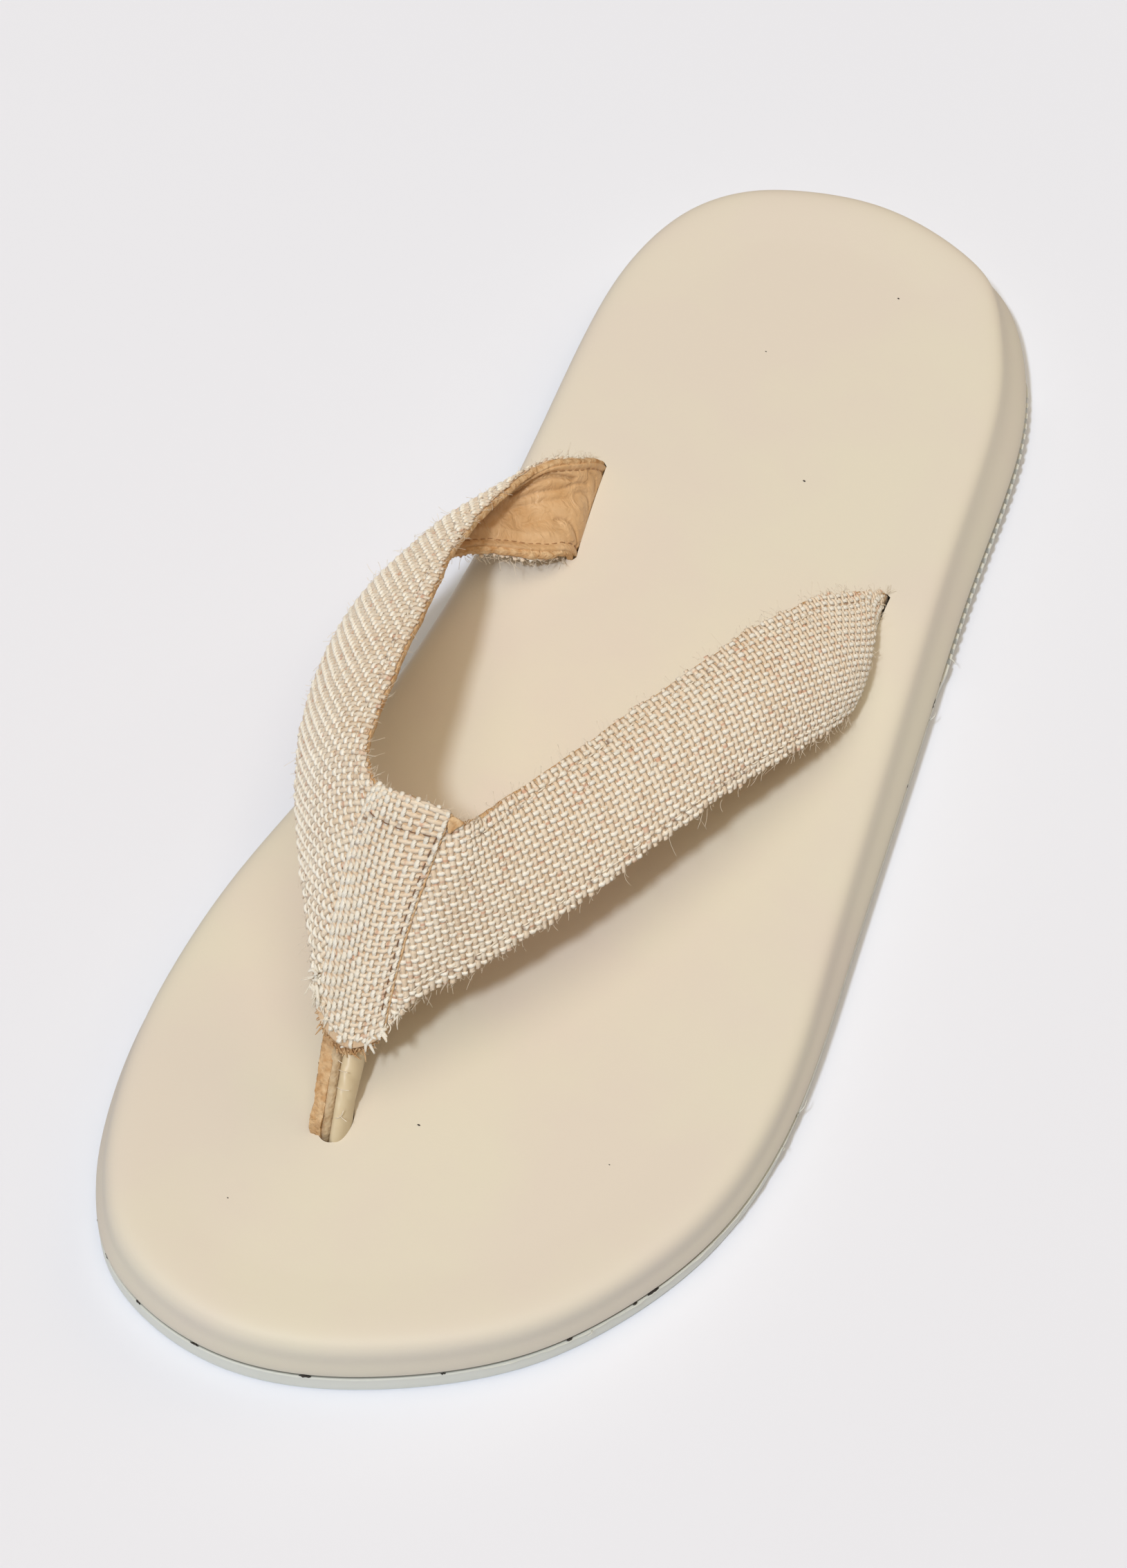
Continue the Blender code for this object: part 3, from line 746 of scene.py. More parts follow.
arms = dict(
    # lines down the middle of each cloth piece, and the degrees its grain leans across them
    medial=dict(
        guide=(
            (-0.95, 0.47), (2, 0.48), (4, 0.48), (5, 0.5), (6, 0.52),
            (7, 0.47), (8, 0.4), (9, 0.37), (10.3, 0.4),
        ),
        middle=5.5, lean=16, seed=11,
    ),
    lateral=dict(
        guide=(
            (9.4, 0.5), (11, 0.45), (13, 0.45), (15, 0.5), (16, 0.53),
            (17, 0.51), (18, 0.49), (19, 0.49), (20.97, 0.5),
        ),
        middle=15, lean=4, seed=12,
    ),
    yarnsEachWay=19, groundRows=120, groundColumns=16, groundLift=(-0.56, -0.9), clothWide=0.0272,
    # how far cloth and ground run past the end stations, and the outer yarns' inset from the edges
    clothPast=0.96, groundPast=0.7, inset=0.45,
    # torn lower end: station, spread, depth in width shares, and how much single yarns lose or fray
    tornAt=9.8, tornWide=1.3, tornDeep=0.05, tornYarn=0.9, fray=(-0.25, 0.5),
)


def drapedNet(guide, middle):
    # cloth net with yarns of fixed spacing both ways, as cloth lies when it shears but does not stretch
    guide = np.array(guide)
    step = weave["pitch"] / weave["perYarn"]
    fine = np.linspace(guide[0, 0], guide[-1, 0], 2400)
    share = smoothCurve(guide[:, 0], guide[:, 1:])(fine)[:, 0]
    length = chordKnots(strapPoint(fine, share))
    count, half = int(length[-1] / step), arms["yarnsEachWay"] * weave["perYarn"]
    u, v = np.zeros((2, count, 2 * half + 1))
    u[:, half], v[:, half] = (np.interp(np.arange(count) * step, length, values) for values in (fine, share))
    start = int(np.abs(u[:, half] - middle).argmin())
    after, before = (strapPoint(u[start + k, half], v[start + k, half]) for k in (1, -1))
    for sideways in (1, -1):
        here = u[start, [half]], v[start, [half]]
        along, across = strapSlopes(*here)
        way = unit(np.cross((after - before)[None], np.cross(across, along))) * sideways
        for c in range(1, half + 1):
            along, across = strapSlopes(*here)
            upwards = unit(np.cross(across, along))
            way = unit(way - upwards * dot(way, upwards)[..., None])
            a, b, d, e, f = (dot(x, y) for x, y in (
                (along, along), (along, across), (across, across), (along, way), (across, way)))
            size = a * d - b * b
            here = here[0] + step * (d * e - b * f) / size, here[1] + step * (a * f - b * e) / size
            u[start, half + sideways * c], v[start, half + sideways * c] = here[0][0], here[1][0]
    for downwards, tall in ((1, count - 1 - start), (-1, start)):
        for sideways in (1, -1):
            for far in range(2, tall + half + 1):
                i = np.arange(max(1, far - half), min(tall, far - 1) + 1)
                r, c = start + downwards * i, half + sideways * (far - i)
                a, b, back = (r - downwards, c), (r, c - sideways), (r - downwards, c - sideways)
                pu, pv = u[a] + u[b] - u[back], v[a] + v[b] - v[back]
                first, second = strapPoint(u[a], v[a]), strapPoint(u[b], v[b])
                for _ in range(2):
                    here, (along, across) = strapPoint(pu, pv), strapSlopes(pu, pv)
                    x, y = here - first, here - second
                    e, f = dot(x, x) - step**2, dot(y, y) - step**2
                    p, q, m, n = (2 * dot(d, way) for d in (x, y) for way in (along, across))
                    size = p * n - q * m
                    size = np.where(np.abs(size) < 1e-3, 1e-3, size)
                    pu = pu - np.clip((n * e - q * f) / size, -0.02, 0.02)
                    pv = pv - np.clip((p * f - m * e) / size, -0.01, 0.01)
                u[r, c], v[r, c] = np.clip(pu, -1, lastStation + 1), np.clip(pv, -0.6, 1.6)
    return u, v


def turnedNet(u, v, lean):
    # the same net read along lines that lean across it, for cloth cut off its grain
    rows, columns = u.shape
    cos, sin = math.cos(math.radians(lean)), math.sin(math.radians(lean))
    tall, wide = int(rows * cos + columns * sin), int(columns * cos + rows * sin)
    down, over = np.arange(tall)[:, None] - tall / 2, np.arange(wide)[None] - wide / 2
    x, y = rows / 2 + down * cos - over * sin, columns / 2 + down * sin + over * cos
    inside = (x >= 0) & (x <= rows - 1) & (y >= 0) & (y <= columns - 1)
    x, y = np.clip(x, 0, rows - 1.001), np.clip(y, 0, columns - 1.001)
    i, j = x.astype(int), y.astype(int)
    p, q = x - i, y - j
    u, v = (
        (a[i, j] * (1 - p) + a[i + 1, j] * p) * (1 - q) + (a[i, j + 1] * (1 - p) + a[i + 1, j + 1] * p) * q
        for a in (u, v)
    )
    return u, v, inside, x * weave["pitch"] / weave["perYarn"]


def pinholes(running, sideways):
    # depth of the needle holes of one seam: lengths along it, distances from it
    near = np.mod(running + weave["holePitch"] / 2, weave["holePitch"]) - weave["holePitch"] / 2
    return np.exp(-(near**2 + sideways**2) / weave["holeWide"] ** 2)


def weaveYarns(label, points, up, holes, keepWarp, keepWeft, seed, slot, proud=0):
    # two sets of crossing yarns on a net: warp down its length, weft across it
    along = unit(np.gradient(points, axis=0))
    side, rng = unit(np.cross(along, up)), np.random.default_rng(seed)
    per, pieces = weave["perYarn"], []
    for name, yarn, lean, crown, keep in (
        ("warp", creamYarn, side, 1, keepWarp), ("weft", roseYarn, along, -1, keepWeft),
    ):
        grids = points, up, lean, holes, keep
        if name == "warp":
            grids = [grid.swapaxes(0, 1) for grid in grids]
        centres, rises, leans, hole, keep = (grid[per // 2::per] for grid in grids)
        number, place = np.arange(len(centres))[:, None], np.arange(centres.shape[1]) * weave["pitch"] / per
        wave = np.cos(np.pi * (np.arange(len(place))[None] - per // 2) / per)
        wave = np.sign(wave) * np.abs(wave) ** 0.7 * (-1) ** number * crown
        wide, high, swing = weave[name]
        fat, drift, lift = (
            (slow * wander(rng, len(number), place, waves), quick * rng.uniform(-1, 1, wave.shape))
            for slow, waves, quick in weave["uneven"]
        )
        fat, drift = (1 + fat[0]) * (1 + fat[1]), sum(drift)
        rise = swing * wave - weave["depth"] - weave["holeDeep"] * hole + proud * crown + sum(lift)
        tube, faces, kept = tubes(centres + rises * rise[..., None] + leans * drift[..., None], leans, rises,
                                  wide * fat * (1 + 0.12 * wave), high * fat, 5, keep)
        uv = np.stack(np.broadcast_arrays(place[:, None] + number[..., None] * 3.7,
                                          number[..., None] * 10 + 2 + np.arange(5) * 0.6), -1)
        # the needle holes sink and get painted shade
        pieces.append(makePiece(f"{label}_{name}", tube, faces, [yarn], slot, uv=uv[kept], fixed=False,
                                dirtAndShade=np.repeat(np.clip(hole * 1.25 - 0.2, 0, 1)[kept], 5)))
    return pieces


patch = dict(
    # stations of its two edges at the rear, in the middle and at the front, and its reach past them
    medial=(7.9, 8.75, 9), lateral=(11.2, 10.8, 10.8), reach=(-0.012, 1.035),
    outer=1.6, yarnsWide=12, tornEnd=1.005, warpProud=0.09, flat=(0.016, 0.041),
    # fold at the top: radius, and degrees from its end to the face in steps
    foldRound=1.3, foldTurns=(95, 10, 8),
    # its two side seams and its top seam lie this far in, its ground this far under the yarns
    seams=(1.5, 1.3, 6.6), groundSunk=(0.58, 1.05),
)


def patchAcross(v, share):
    # stations from the patch's medial to its lateral edge
    return threePoint(*patch["medial"], v) * (1 - share) + threePoint(*patch["lateral"], v) * share


def clothArm(label):
    arm, medial = arms[label], label == "medial"
    rng = np.random.default_rng(arm["seed"])
    u, v, inNet, running = turnedNet(*drapedNet(arm["guide"], arm["middle"]), arm["lean"])
    points, _, _, up = strapFrame(u, v)
    wide = np.linalg.norm(strapSlopes(u, v)[1], axis=-1)
    edge = widthShare(u, v)
    holes = np.maximum(
        pinholes(running, edge * wide - weave["seamInset"]),
        pinholes(running + 0.9, (1 - edge) * wide - weave["seamInset"]),
    )
    end = patchAcross(np.clip(v, 0, 1.1), 0.5)
    past, inset = arms["clothPast"], arms["inset"] / wide
    inside = ((u < end) if medial else (u > end)) & inNet & (u > -past) & (u < lastStation + past)
    # torn lower end, where the cloth stops short of the leather
    tip = bell(u - arms["tornAt"], arms["tornWide"]) * arms["tornDeep"]
    torn = rng.uniform(0, arms["tornYarn"], (1, u.shape[1])) / wide * ease(0.02, 0.04, tip)
    keepWarp = inside & (edge > inset) & (edge < 1 - inset - tip - torn)
    fray = rng.uniform(*arms["fray"], (u.shape[0], 1)) / wide
    keepWeft = inside & (edge > -fray) & (edge < 1 + fray - tip)
    pieces = weaveYarns(f"{label}_arm", points, up, holes, keepWarp, keepWeft, arm["seed"], "strap")

    # the cloth's own ground, which the yarns lie on
    rows, columns = arms["groundRows"], arms["groundColumns"]
    v = np.linspace(0.012, 0.988, columns)
    start = -arms["groundPast"] if medial else lastStation + arms["groundPast"]
    u = start + (patchAcross(v, 0.5) - start) * np.linspace(0, 1, rows)[:, None]
    v = np.where(v > 0.5, 0.5 + (v - 0.5) * (1 - 0.11 * bell(u - arms["tornAt"], 1.6)), v)
    both = [strapFrame(u, edgeDrift(u, v), lift)[0] for lift in arms["groundLift"]]
    cloth = makePiece(f"{label}_cloth", np.array(both), shellFaces(rows, columns), [groundCloth], "strap",
                      uv=np.tile(np.stack([u * 6, v * 26], -1).reshape(-1, 2), (2, 1)))


band = dict(
    # levels of its two faces, bulge of its rounded edges and roughness of edges, in width shares, and faces
    outer=-0.95, inner=-2.15, bulge=0.007, edgeRough=0.0015, faceRough=0.03,
    rows=560, edgeSteps=6, outerColumns=9, innerColumns=12, tailReach=0.9,
)


def leatherBand():
    outer, inner, reach, bulge = (band[key] for key in ("outer", "inner", "tailReach", "bulge"))
    middle, half = (outer + inner) / 2, (outer - inner) / 2
    turns = [math.pi * k / band["edgeSteps"] for k in range(1, band["edgeSteps"])]
    section = [(share, outer) for share in np.linspace(0, 1, band["outerColumns"])]
    section += [(1 + bulge * math.sin(turn), middle + half * math.cos(turn)) for turn in turns]
    section += [(share, inner) for share in np.linspace(1, 0, band["innerColumns"])]
    section += [(-bulge * math.sin(turn), middle - half * math.cos(turn)) for turn in turns]
    across, lift = np.array(section).T
    fine, length = strapLengths(-reach, lastStation + reach, 0.5, 2500)
    u = np.interp(np.linspace(0, length[-1], band["rows"]), length, fine)[:, None]
    rng = np.random.default_rng(3)
    v = edgeDrift(u, across) + rng.normal(0, band["edgeRough"], (len(u), len(section)))
    points = strapFrame(u, v, lift + rng.normal(0, band["faceRough"], v.shape))[0]
    piece = makePiece("strap_leather", points, loftFaces(*v.shape), [rawLeather], "strap")
    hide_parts("strap")


liningSkin = dict(
    rows=900, columns=70, lift=-2.68, foot=-2.08, margin=0.03,
    seam=0.098, seamDeep=0.34, seamWide=0.55, puff=1.15, puffWide=3.4,
    # wrinkles at the medial slot: depth, width, then points in stations and width shares
    wrinkles=(
        (0.6, 0.8, (2.05, 0.3), (1.75, 0.2), (1.45, 0.15), (1.15, 0.17), (0.85, 0.21)),
        (0.34, 0.7, (1.75, 0.4), (1.35, 0.33), (1, 0.31), (0.7, 0.26), (0.4, 0.27)),
        (0.22, 0.6, (1.95, 0.55), (1.5, 0.49), (1.1, 0.45), (0.8, 0.44)),
        (0.28, 0.6, (0.55, 0.13), (0.32, 0.17), (0.12, 0.24), (0.02, 0.3)),
        (0.3, 0.6, (0.62, 0.38), (0.36, 0.37), (0.16, 0.42), (0.02, 0.5)),
        (0.4, 0.6, (0.95, 0.66), (0.7, 0.66), (0.45, 0.72), (0.22, 0.82), (0.08, 0.88)),
        (0.2, 0.55, (1.55, 0.72), (1.25, 0.66), (0.98, 0.66), (0.8, 0.72)),
        # the same kind of wrinkles at the lateral slot
        (0.35, 0.8, (18.4, 0.3), (18.9, 0.22), (19.4, 0.26), (19.8, 0.2)),
        (0.32, 0.75, (18.2, 0.55), (18.8, 0.62), (19.3, 0.58), (19.8, 0.66)),
        (0.3, 0.7, (18.6, 0.8), (19.1, 0.74), (19.5, 0.82), (19.9, 0.84)),
    ),
)


def lineDistance(points, line):
    # distance of points from a smooth line in space
    fine = evenCurve(line, chordKnots(line), 60)
    best = np.full(len(points), 1e9)
    for a, b in zip(fine[:-1], fine[1:]):
        span = b - a
        share = np.clip(((points - a) @ span) / (span @ span), 0, 1)
        best = np.minimum(best, np.linalg.norm(points - a - share[:, None] * span, axis=1))
    return best


def liningSheet():
    columns, margin, level = liningSkin["columns"], liningSkin["margin"], liningSkin["lift"]
    fine, length = strapLengths(-0.85, lastStation + 0.85, 0.5, 3000)
    # rows lie closer near the slots, where the wrinkles are
    density = 1 / (0.3 + 0.45 * ease(2, 5, np.minimum(fine, lastStation - fine)))
    knots = np.concatenate([[0], np.cumsum(np.diff(length) * (density[1:] + density[:-1]) / 2)])
    u = np.interp(np.linspace(0, knots[-1], liningSkin["rows"]), knots, fine)[:, None]
    v = np.concatenate([[margin], np.linspace(margin, 1 - margin, columns), [1 - margin]])[None]
    u, v = np.broadcast_arrays(u, v)
    sunk, nearest = np.zeros(u.shape), np.full(u.shape, 9.0)
    base = strapFrame(u, v, level)[0]
    for deep, wide, *line in liningSkin["wrinkles"]:
        line = np.array(line)
        here = (u > line[:, 0].min() - 0.5) & (u < line[:, 0].max() + 0.5)
        away = lineDistance(base[here], strapFrame(line[:, 0], line[:, 1], level)[0])
        # creases pull in and the leather puffs up between them
        sunk[here] = np.maximum(sunk[here], deep * np.exp(-((away / wide) ** 2) * 2.6))
        nearest[here] = np.minimum(nearest[here], away)
    fromBase = np.minimum(u, lastStation - u)
    region = (1 - ease(1.8, 3.2, fromBase)) * ease(-0.15, 0.5, fromBase)
    region = region * ease(0.1, 0.2, v) * ease(0.1, 0.2, 1 - v)
    puffed = liningSkin["puff"] * (1 - bell(nearest, liningSkin["puffWide"])) * region
    # painted shade in the creases and towards the bend
    dirtAndShade = np.clip(sunk * 1.5 - 0.25, 0, 0.3) + 0.2 * ease(0.9, 2.4, u) * (1 - ease(2.4, 5, u))
    for seam in (liningSkin["seam"], 1 - liningSkin["seam"]):
        sunk += liningSkin["seamDeep"] * bell(np.abs(v - seam) * 26, liningSkin["seamWide"])
    ripple = 0.05 * np.sin(u * 9 + 7 * v + 2 * np.sin(u * 3.1)) * np.sin(v * np.pi)
    lift = level + sunk - puffed + ripple
    lift[:, [0, -1]] = liningSkin["foot"]
    points = strapFrame(u, v, lift)[0]
    makePiece("strap_lining", points, gridFaces(*u.shape), [lining], "strap", dirtAndShade=dirtAndShade, fixed=False)


sewing = dict(
    # pitch, length, radius and rise of the stitches, and their thread
    cloth=(weave["holePitch"], 1.75, 0.15, 0.12, creamThread),
    lining=(1.7, 1.35, 0.11, 0.08, tanThread),
    patchTop=(2.6, 1.3, 0.11, 0.14, brownThread),
    patchSide=(2.6, 1.3, 0.12, 0.12, brownThread),
)


def stitches(name, place, total, pitch, dash, radius, rise, thread, slot, start=0):
    # row of stitches along a seam: place(lengths, lift) gives points on it
    middles, share = np.arange(start + pitch / 2, total, pitch), np.linspace(-0.5, 0.5, 7)
    lengths = middles[:, None] + share * dash
    lift = rise * (1 - (2 * share) ** 4) - 0.25 * (2 * np.abs(share)) ** 6
    lines = place(lengths.ravel(), np.tile(lift, len(middles))).reshape(*lengths.shape, 3)
    makePiece(name, *threadTubes(lines, radius, 6), [thread], slot, fixed=False)


def seamPlace(first, last, v, lift, side=1):
    # points of a seam at constant v by length, lift added to the seam's own on that side
    fine, length = strapLengths(first, last, v, 1500)

    def place(lengths, more):
        u = np.interp(lengths, length, fine)
        return strapFrame(u, edgeDrift(u, v), lift + more * side)[0]

    return place, length[-1]


def strapSeams():
    far, seam = lastStation + 0.2, liningSkin["seam"]
    level = liningSkin["lift"] + liningSkin["seamDeep"] - 0.02
    ends = (-0.2, 7.9, 0.1), (-0.2, 8.6, 0.905), (far, 11.6, 0.1), (far, 11.2, 0.905)
    for number, end in enumerate(ends):
        stitches(f"cloth_seam_{number}", *seamPlace(*end, -0.3), *sewing["cloth"], "strap")
    for number, v in enumerate((seam, 1 - seam)):
        place = seamPlace(-0.2, far, v, level, -1)
        stitches(f"lining_seam_{number}", *place, *sewing["lining"], "strap")


strapSlot = dict(
    rows=24, columns=9, outerInset=0.014, innerInset=0.022,
    # round sides: reach past the strap's edge in width shares, level
    side=((0.003, -0.5), (0.011, -1), (0.011, -2.1)),
)


def tailCutter(first, last):
    # the strap's end with its play, which is cut out of the footbed
    rows, columns, side = strapSlot["rows"], strapSlot["columns"], strapSlot["side"]
    outer, inner = strapSlot["outerInset"], strapSlot["innerInset"]
    section = [(v, strap["fit"]) for v in np.linspace(outer, 1 - outer, columns)]
    section += [(1 + past, level) for past, level in side]
    section += [(v, -strap["thick"] - strap["fit"]) for v in np.linspace(1 - inner, inner, columns)]
    section += [(-past, level) for past, level in reversed(side)]
    v, lift = np.array(section).T
    return strapFrame(np.linspace(first, last, rows)[:, None], v, lift)[0], loftFaces(rows, len(v))


# patch

def patchNet():
    per = weave["perYarn"]
    share = np.linspace(*patch["reach"], patch["yarnsWide"] * per + 1)
    line = np.linspace(0, patch["reach"][1], 400)
    length = chordKnots(strapPoint(patchAcross(line, 0.5), line))
    yarnsLong = int(round(length[-1] / weave["pitch"]))
    v = np.interp(np.linspace(0, length[-1], yarnsLong * per + 1), length, line)[:, None]
    u = patchAcross(v, share)
    v = np.broadcast_to(v, u.shape)
    # rolled over on the lateral side, nearly flush on the medial side
    lift = patch["outer"] - np.clip((share - 0.93) / 0.105, 0, 1) ** 2.2 - (1 - ease(-0.02, 0.3, share))
    net = strapFrame(u, v, np.broadcast_to(lift, u.shape))
    # the top edge folds over the strap's rear edge
    (start, *_), (down, *_), (over, *_), (out, *_) = net
    folds, radius = [], patch["foldRound"]
    for turn in np.radians(np.linspace(*patch["foldTurns"])):
        place = start - over * radius * math.sin(turn) - out * radius * (1 - math.cos(turn))
        folds.append((place, out * math.cos(turn) - over * math.sin(turn)))
    points, up = (np.concatenate([np.array([fold[k] for fold in folds]), net[3 * k]]) for k in (0, 1))
    return points, up, np.concatenate([np.full((len(folds), u.shape[1]), -0.01), v])


def runningLengths(points, axis):
    steps = np.linalg.norm(np.diff(points, axis=axis), axis=2)
    return np.insert(np.cumsum(steps, axis=axis), 0, 0, axis=axis)


def patchCloth(points, up, v):
    rows, columns = v.shape
    rng = np.random.default_rng(31)
    width, length = runningLengths(points, 1), runningLengths(points, 0)
    medial, lateral, top = patch["seams"]
    holes = np.maximum.reduce([
        pinholes(length, width - medial) * (length > 6),
        pinholes(length + 0.8, width[:, -1:] - width - lateral) * (length > 6) * 0.7,
        pinholes(width, length - top) * (width > 1) * 0.7,
    ])
    keepWarp = v < patch["tornEnd"] + rng.uniform(-0.03, 0.02, (1, columns))
    keepWeft = (v < patch["tornEnd"] - 0.01) & (width > -rng.uniform(-0.6, 0.3, (rows, 1)))
    pieces = weaveYarns("patch", points, up, holes, keepWarp, keepWeft, 31, "strap_patch", patch["warpProud"])
    both = np.array([points[:-3, ::2] - up[:-3, ::2] * sunk for sunk in patch["groundSunk"]])
    faces = shellFaces(*both.shape[1:3])
    cloth = makePiece("patch_cloth", both, faces, [groundCloth], "strap_patch", uv=both[..., :2])
    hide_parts("strap_patch")


def patchBacking():
    # thin leather under the patch, which shows as a line along its lateral edge
    rng = np.random.default_rng(8)
    v = np.linspace(-0.02, 1, 60)[:, None]
    u = patchAcross(v, np.linspace(0.1, 1.034, 14))
    v = v + rng.normal(0, 0.001, u.shape)
    u = u + rng.normal(0, 0.006, u.shape)
    rows = np.array([strapFrame(u, v, lift)[0] for lift in (0.42, 0.06)])
    makePiece("patch_backing", rows, shellFaces(*u.shape), [rawLeather], "strap_patch", sharp=50)


notchScrap = dict(
    corners=(
        (11.2, -0.015), (11.55, -0.03), (11.95, -0.005), (11.75, 0.035),
        (11.5, 0.075), (11.28, 0.115), (11.12, 0.06),
    ),
    size=0.66,
    # share of the outline and height of each ring
    rings=((1, 0), (1, 0.4), (0.93, 0.55), (0.8, 0.62), (0.5, 0.66), (0.1, 0.62)),
)


def notchLeather():
    # scrap of leather that stands in the notch beside the patch
    corners = np.array(notchScrap["corners"])
    ring = evenCurve(corners, chordKnots(corners * (8, 30), closed=True), 37, closed=True)[:-1]
    share, lift = np.array(notchScrap["rings"]).T[..., None]
    middle, size = ring.mean(axis=0), notchScrap["size"]
    u, v = (at + (line - at) * share * size for line, at in zip(ring.T, middle))
    points = strapFrame(u, v, np.broadcast_to(lift, u.shape))[0]
    makePiece("notch_leather", points, loftFaces(*u.shape), [rawLeather], "strap_patch")


def patchStitches(points, up, v):
    # brown dashes along the top, small ones down the lateral edge
    near = [int(np.abs(v[:, 0] - place).argmin()) for place in (0.115, 0.1, 0.93)]
    across, down = near[0], (slice(near[1], near[2]), int(v.shape[1] * 0.92))
    for name, at, sunk, shorter, kind, start in (
        ("patch_seam_top", across, 0.02, 1.6, "patchTop", 1.4),
        ("patch_seam_side", down, 0.12, 0, "patchSide", 0),
    ):
        line = np.hstack([points[at], up[at]])
        length = chordKnots(points[at])

        def place(lengths, more):
            here = np.stack([np.interp(lengths, length, column) for column in line.T], 1)
            return here[:, :3] + here[:, 3:] * (more - sunk)[:, None]

        stitches(name, place, length[-1] - shorter, *sewing[kind], "strap_patch", start)


# loose fibres

fuzz = dict(
    edge=820, face=520, thick=0.035, torn=110, leather=230,
    # tufts: middle and spread in stations and width shares, number
    tufts=(
        ((10.42, 0.985), (0.24, 0.016), 30), ((8.95, 0.93), (0.12, 0.014), 12),
        ((10, 0.97), (0.35, 0.01), 10),
    ),
    # thickness along a torn thread, a tuft and a shred of leather
    tornThick=(0.13, 0.13, 0.117, 0.104, 0.078, 0.0455),
    tuftThick=(0.231, 0.33, 0.363, 0.33, 0.297, 0.165),
    shredThick=(0.28, 0.24, 0.2, 0.16, 0.12, 0.06),
)


def fibreLines(rng, roots, ways, long, curl):
    # curling hairs from roots in given ways
    steps, size = np.linspace(0, 1, 6)[:, None], long[:, None, None]
    bend, twist = rng.normal(0, 1, (2, len(roots), 1, 3))
    bent = curl * (bend * steps**2 + 0.6 * twist * steps**3)
    return roots[:, None] + size * (ways[:, None] * steps + bent)


def strapHairs(rng, u, v, lift, across, along, up, long, curl):
    # hairs that leave the strap with these shares of its three directions
    root, *axes = strapFrame(u, v, lift)
    way = sum(axis * np.reshape(share, (-1, 1)) for axis, share in zip(axes, (along, across, up)))
    return fibreLines(rng, root, unit(way), long, curl)


def hairPiece(name, lines, size, sides, material, slot):
    points, faces = threadTubes(lines, np.broadcast_to(size, lines.shape[:2]), sides)
    makePiece(name, points, faces, [material], slot, uv=points[:, :2] * 3, fixed=False)


def looseFibres():
    rng = np.random.default_rng(77)
    even, normal = rng.uniform, rng.normal
    thin, tufts = [], []
    for first, last in ((0, 9.4), (10.4, lastStation)):
        n = fuzz["edge"] // 4
        for front in (0, 1):
            u, v = even(first, last, n), front + even(-0.012, 0.012, n)
            thin.append(strapHairs(
                rng, u, edgeDrift(u, v), even(-0.75, 0, n), 2 * front - 1, normal(0, 0.7, n),
                normal(0.1, 0.35, n), even(0.5, 2, n) ** 1.2, 0.28,
            ))
        n = fuzz["face"] // 2
        thin.append(strapHairs(
            rng, even(first, last, n), even(0.04, 0.96, n), -0.05, normal(0, 1, n),
            normal(0, 1, n), 0.45, even(0.7, 2.2, n), 0.3,
        ))
    # thick torn threads at the lower end of the cloth
    n = fuzz["torn"]
    torn = strapHairs(
        rng, even(8.7, 11.3, n), even(0.935, 0.975, n), even(-0.5, 1, n), 1,
        normal(0, 0.8, n), normal(0.15, 0.3, n), even(0.8, 2.6, n), 0.22,
    )
    # tufts of untwisted yarn at the two lower corners, and torn leather between them
    for (u, v), (uSpread, vSpread), n in fuzz["tufts"]:
        tufts.append(strapHairs(
            rng, u + normal(0, uSpread, n), v + normal(0, vSpread, n), even(-0.3, 1, n),
            even(-0.2, 0.6, n), normal(0, 1, n), 0.1, even(0.8, 1.8, n), 0.42,
        ))
    n = fuzz["leather"]
    u = even(9.1, 10.75, n)
    shreds = strapHairs(
        rng, u, edgeDrift(u, even(0.955, 1, n)), even(-1.9, -0.4, n), 1,
        normal(0, 1.1, n), normal(0, 0.35, n), even(0.5, 1.7, n), 0.25,
    )
    hairPiece("strap_fuzz", np.concatenate(thin), fuzz["thick"], 3, creamThread, "strap")
    hairPiece("torn_threads", torn, fuzz["tornThick"], 5, creamYarn, "strap_patch")
    hairPiece("yarn_tufts", np.concatenate(tufts), fuzz["tuftThick"], 6, creamYarn, "strap_patch")
    hairPiece("leather_shreds", shreds, fuzz["shredThick"], 5, rawLeather, "strap")


# toe post

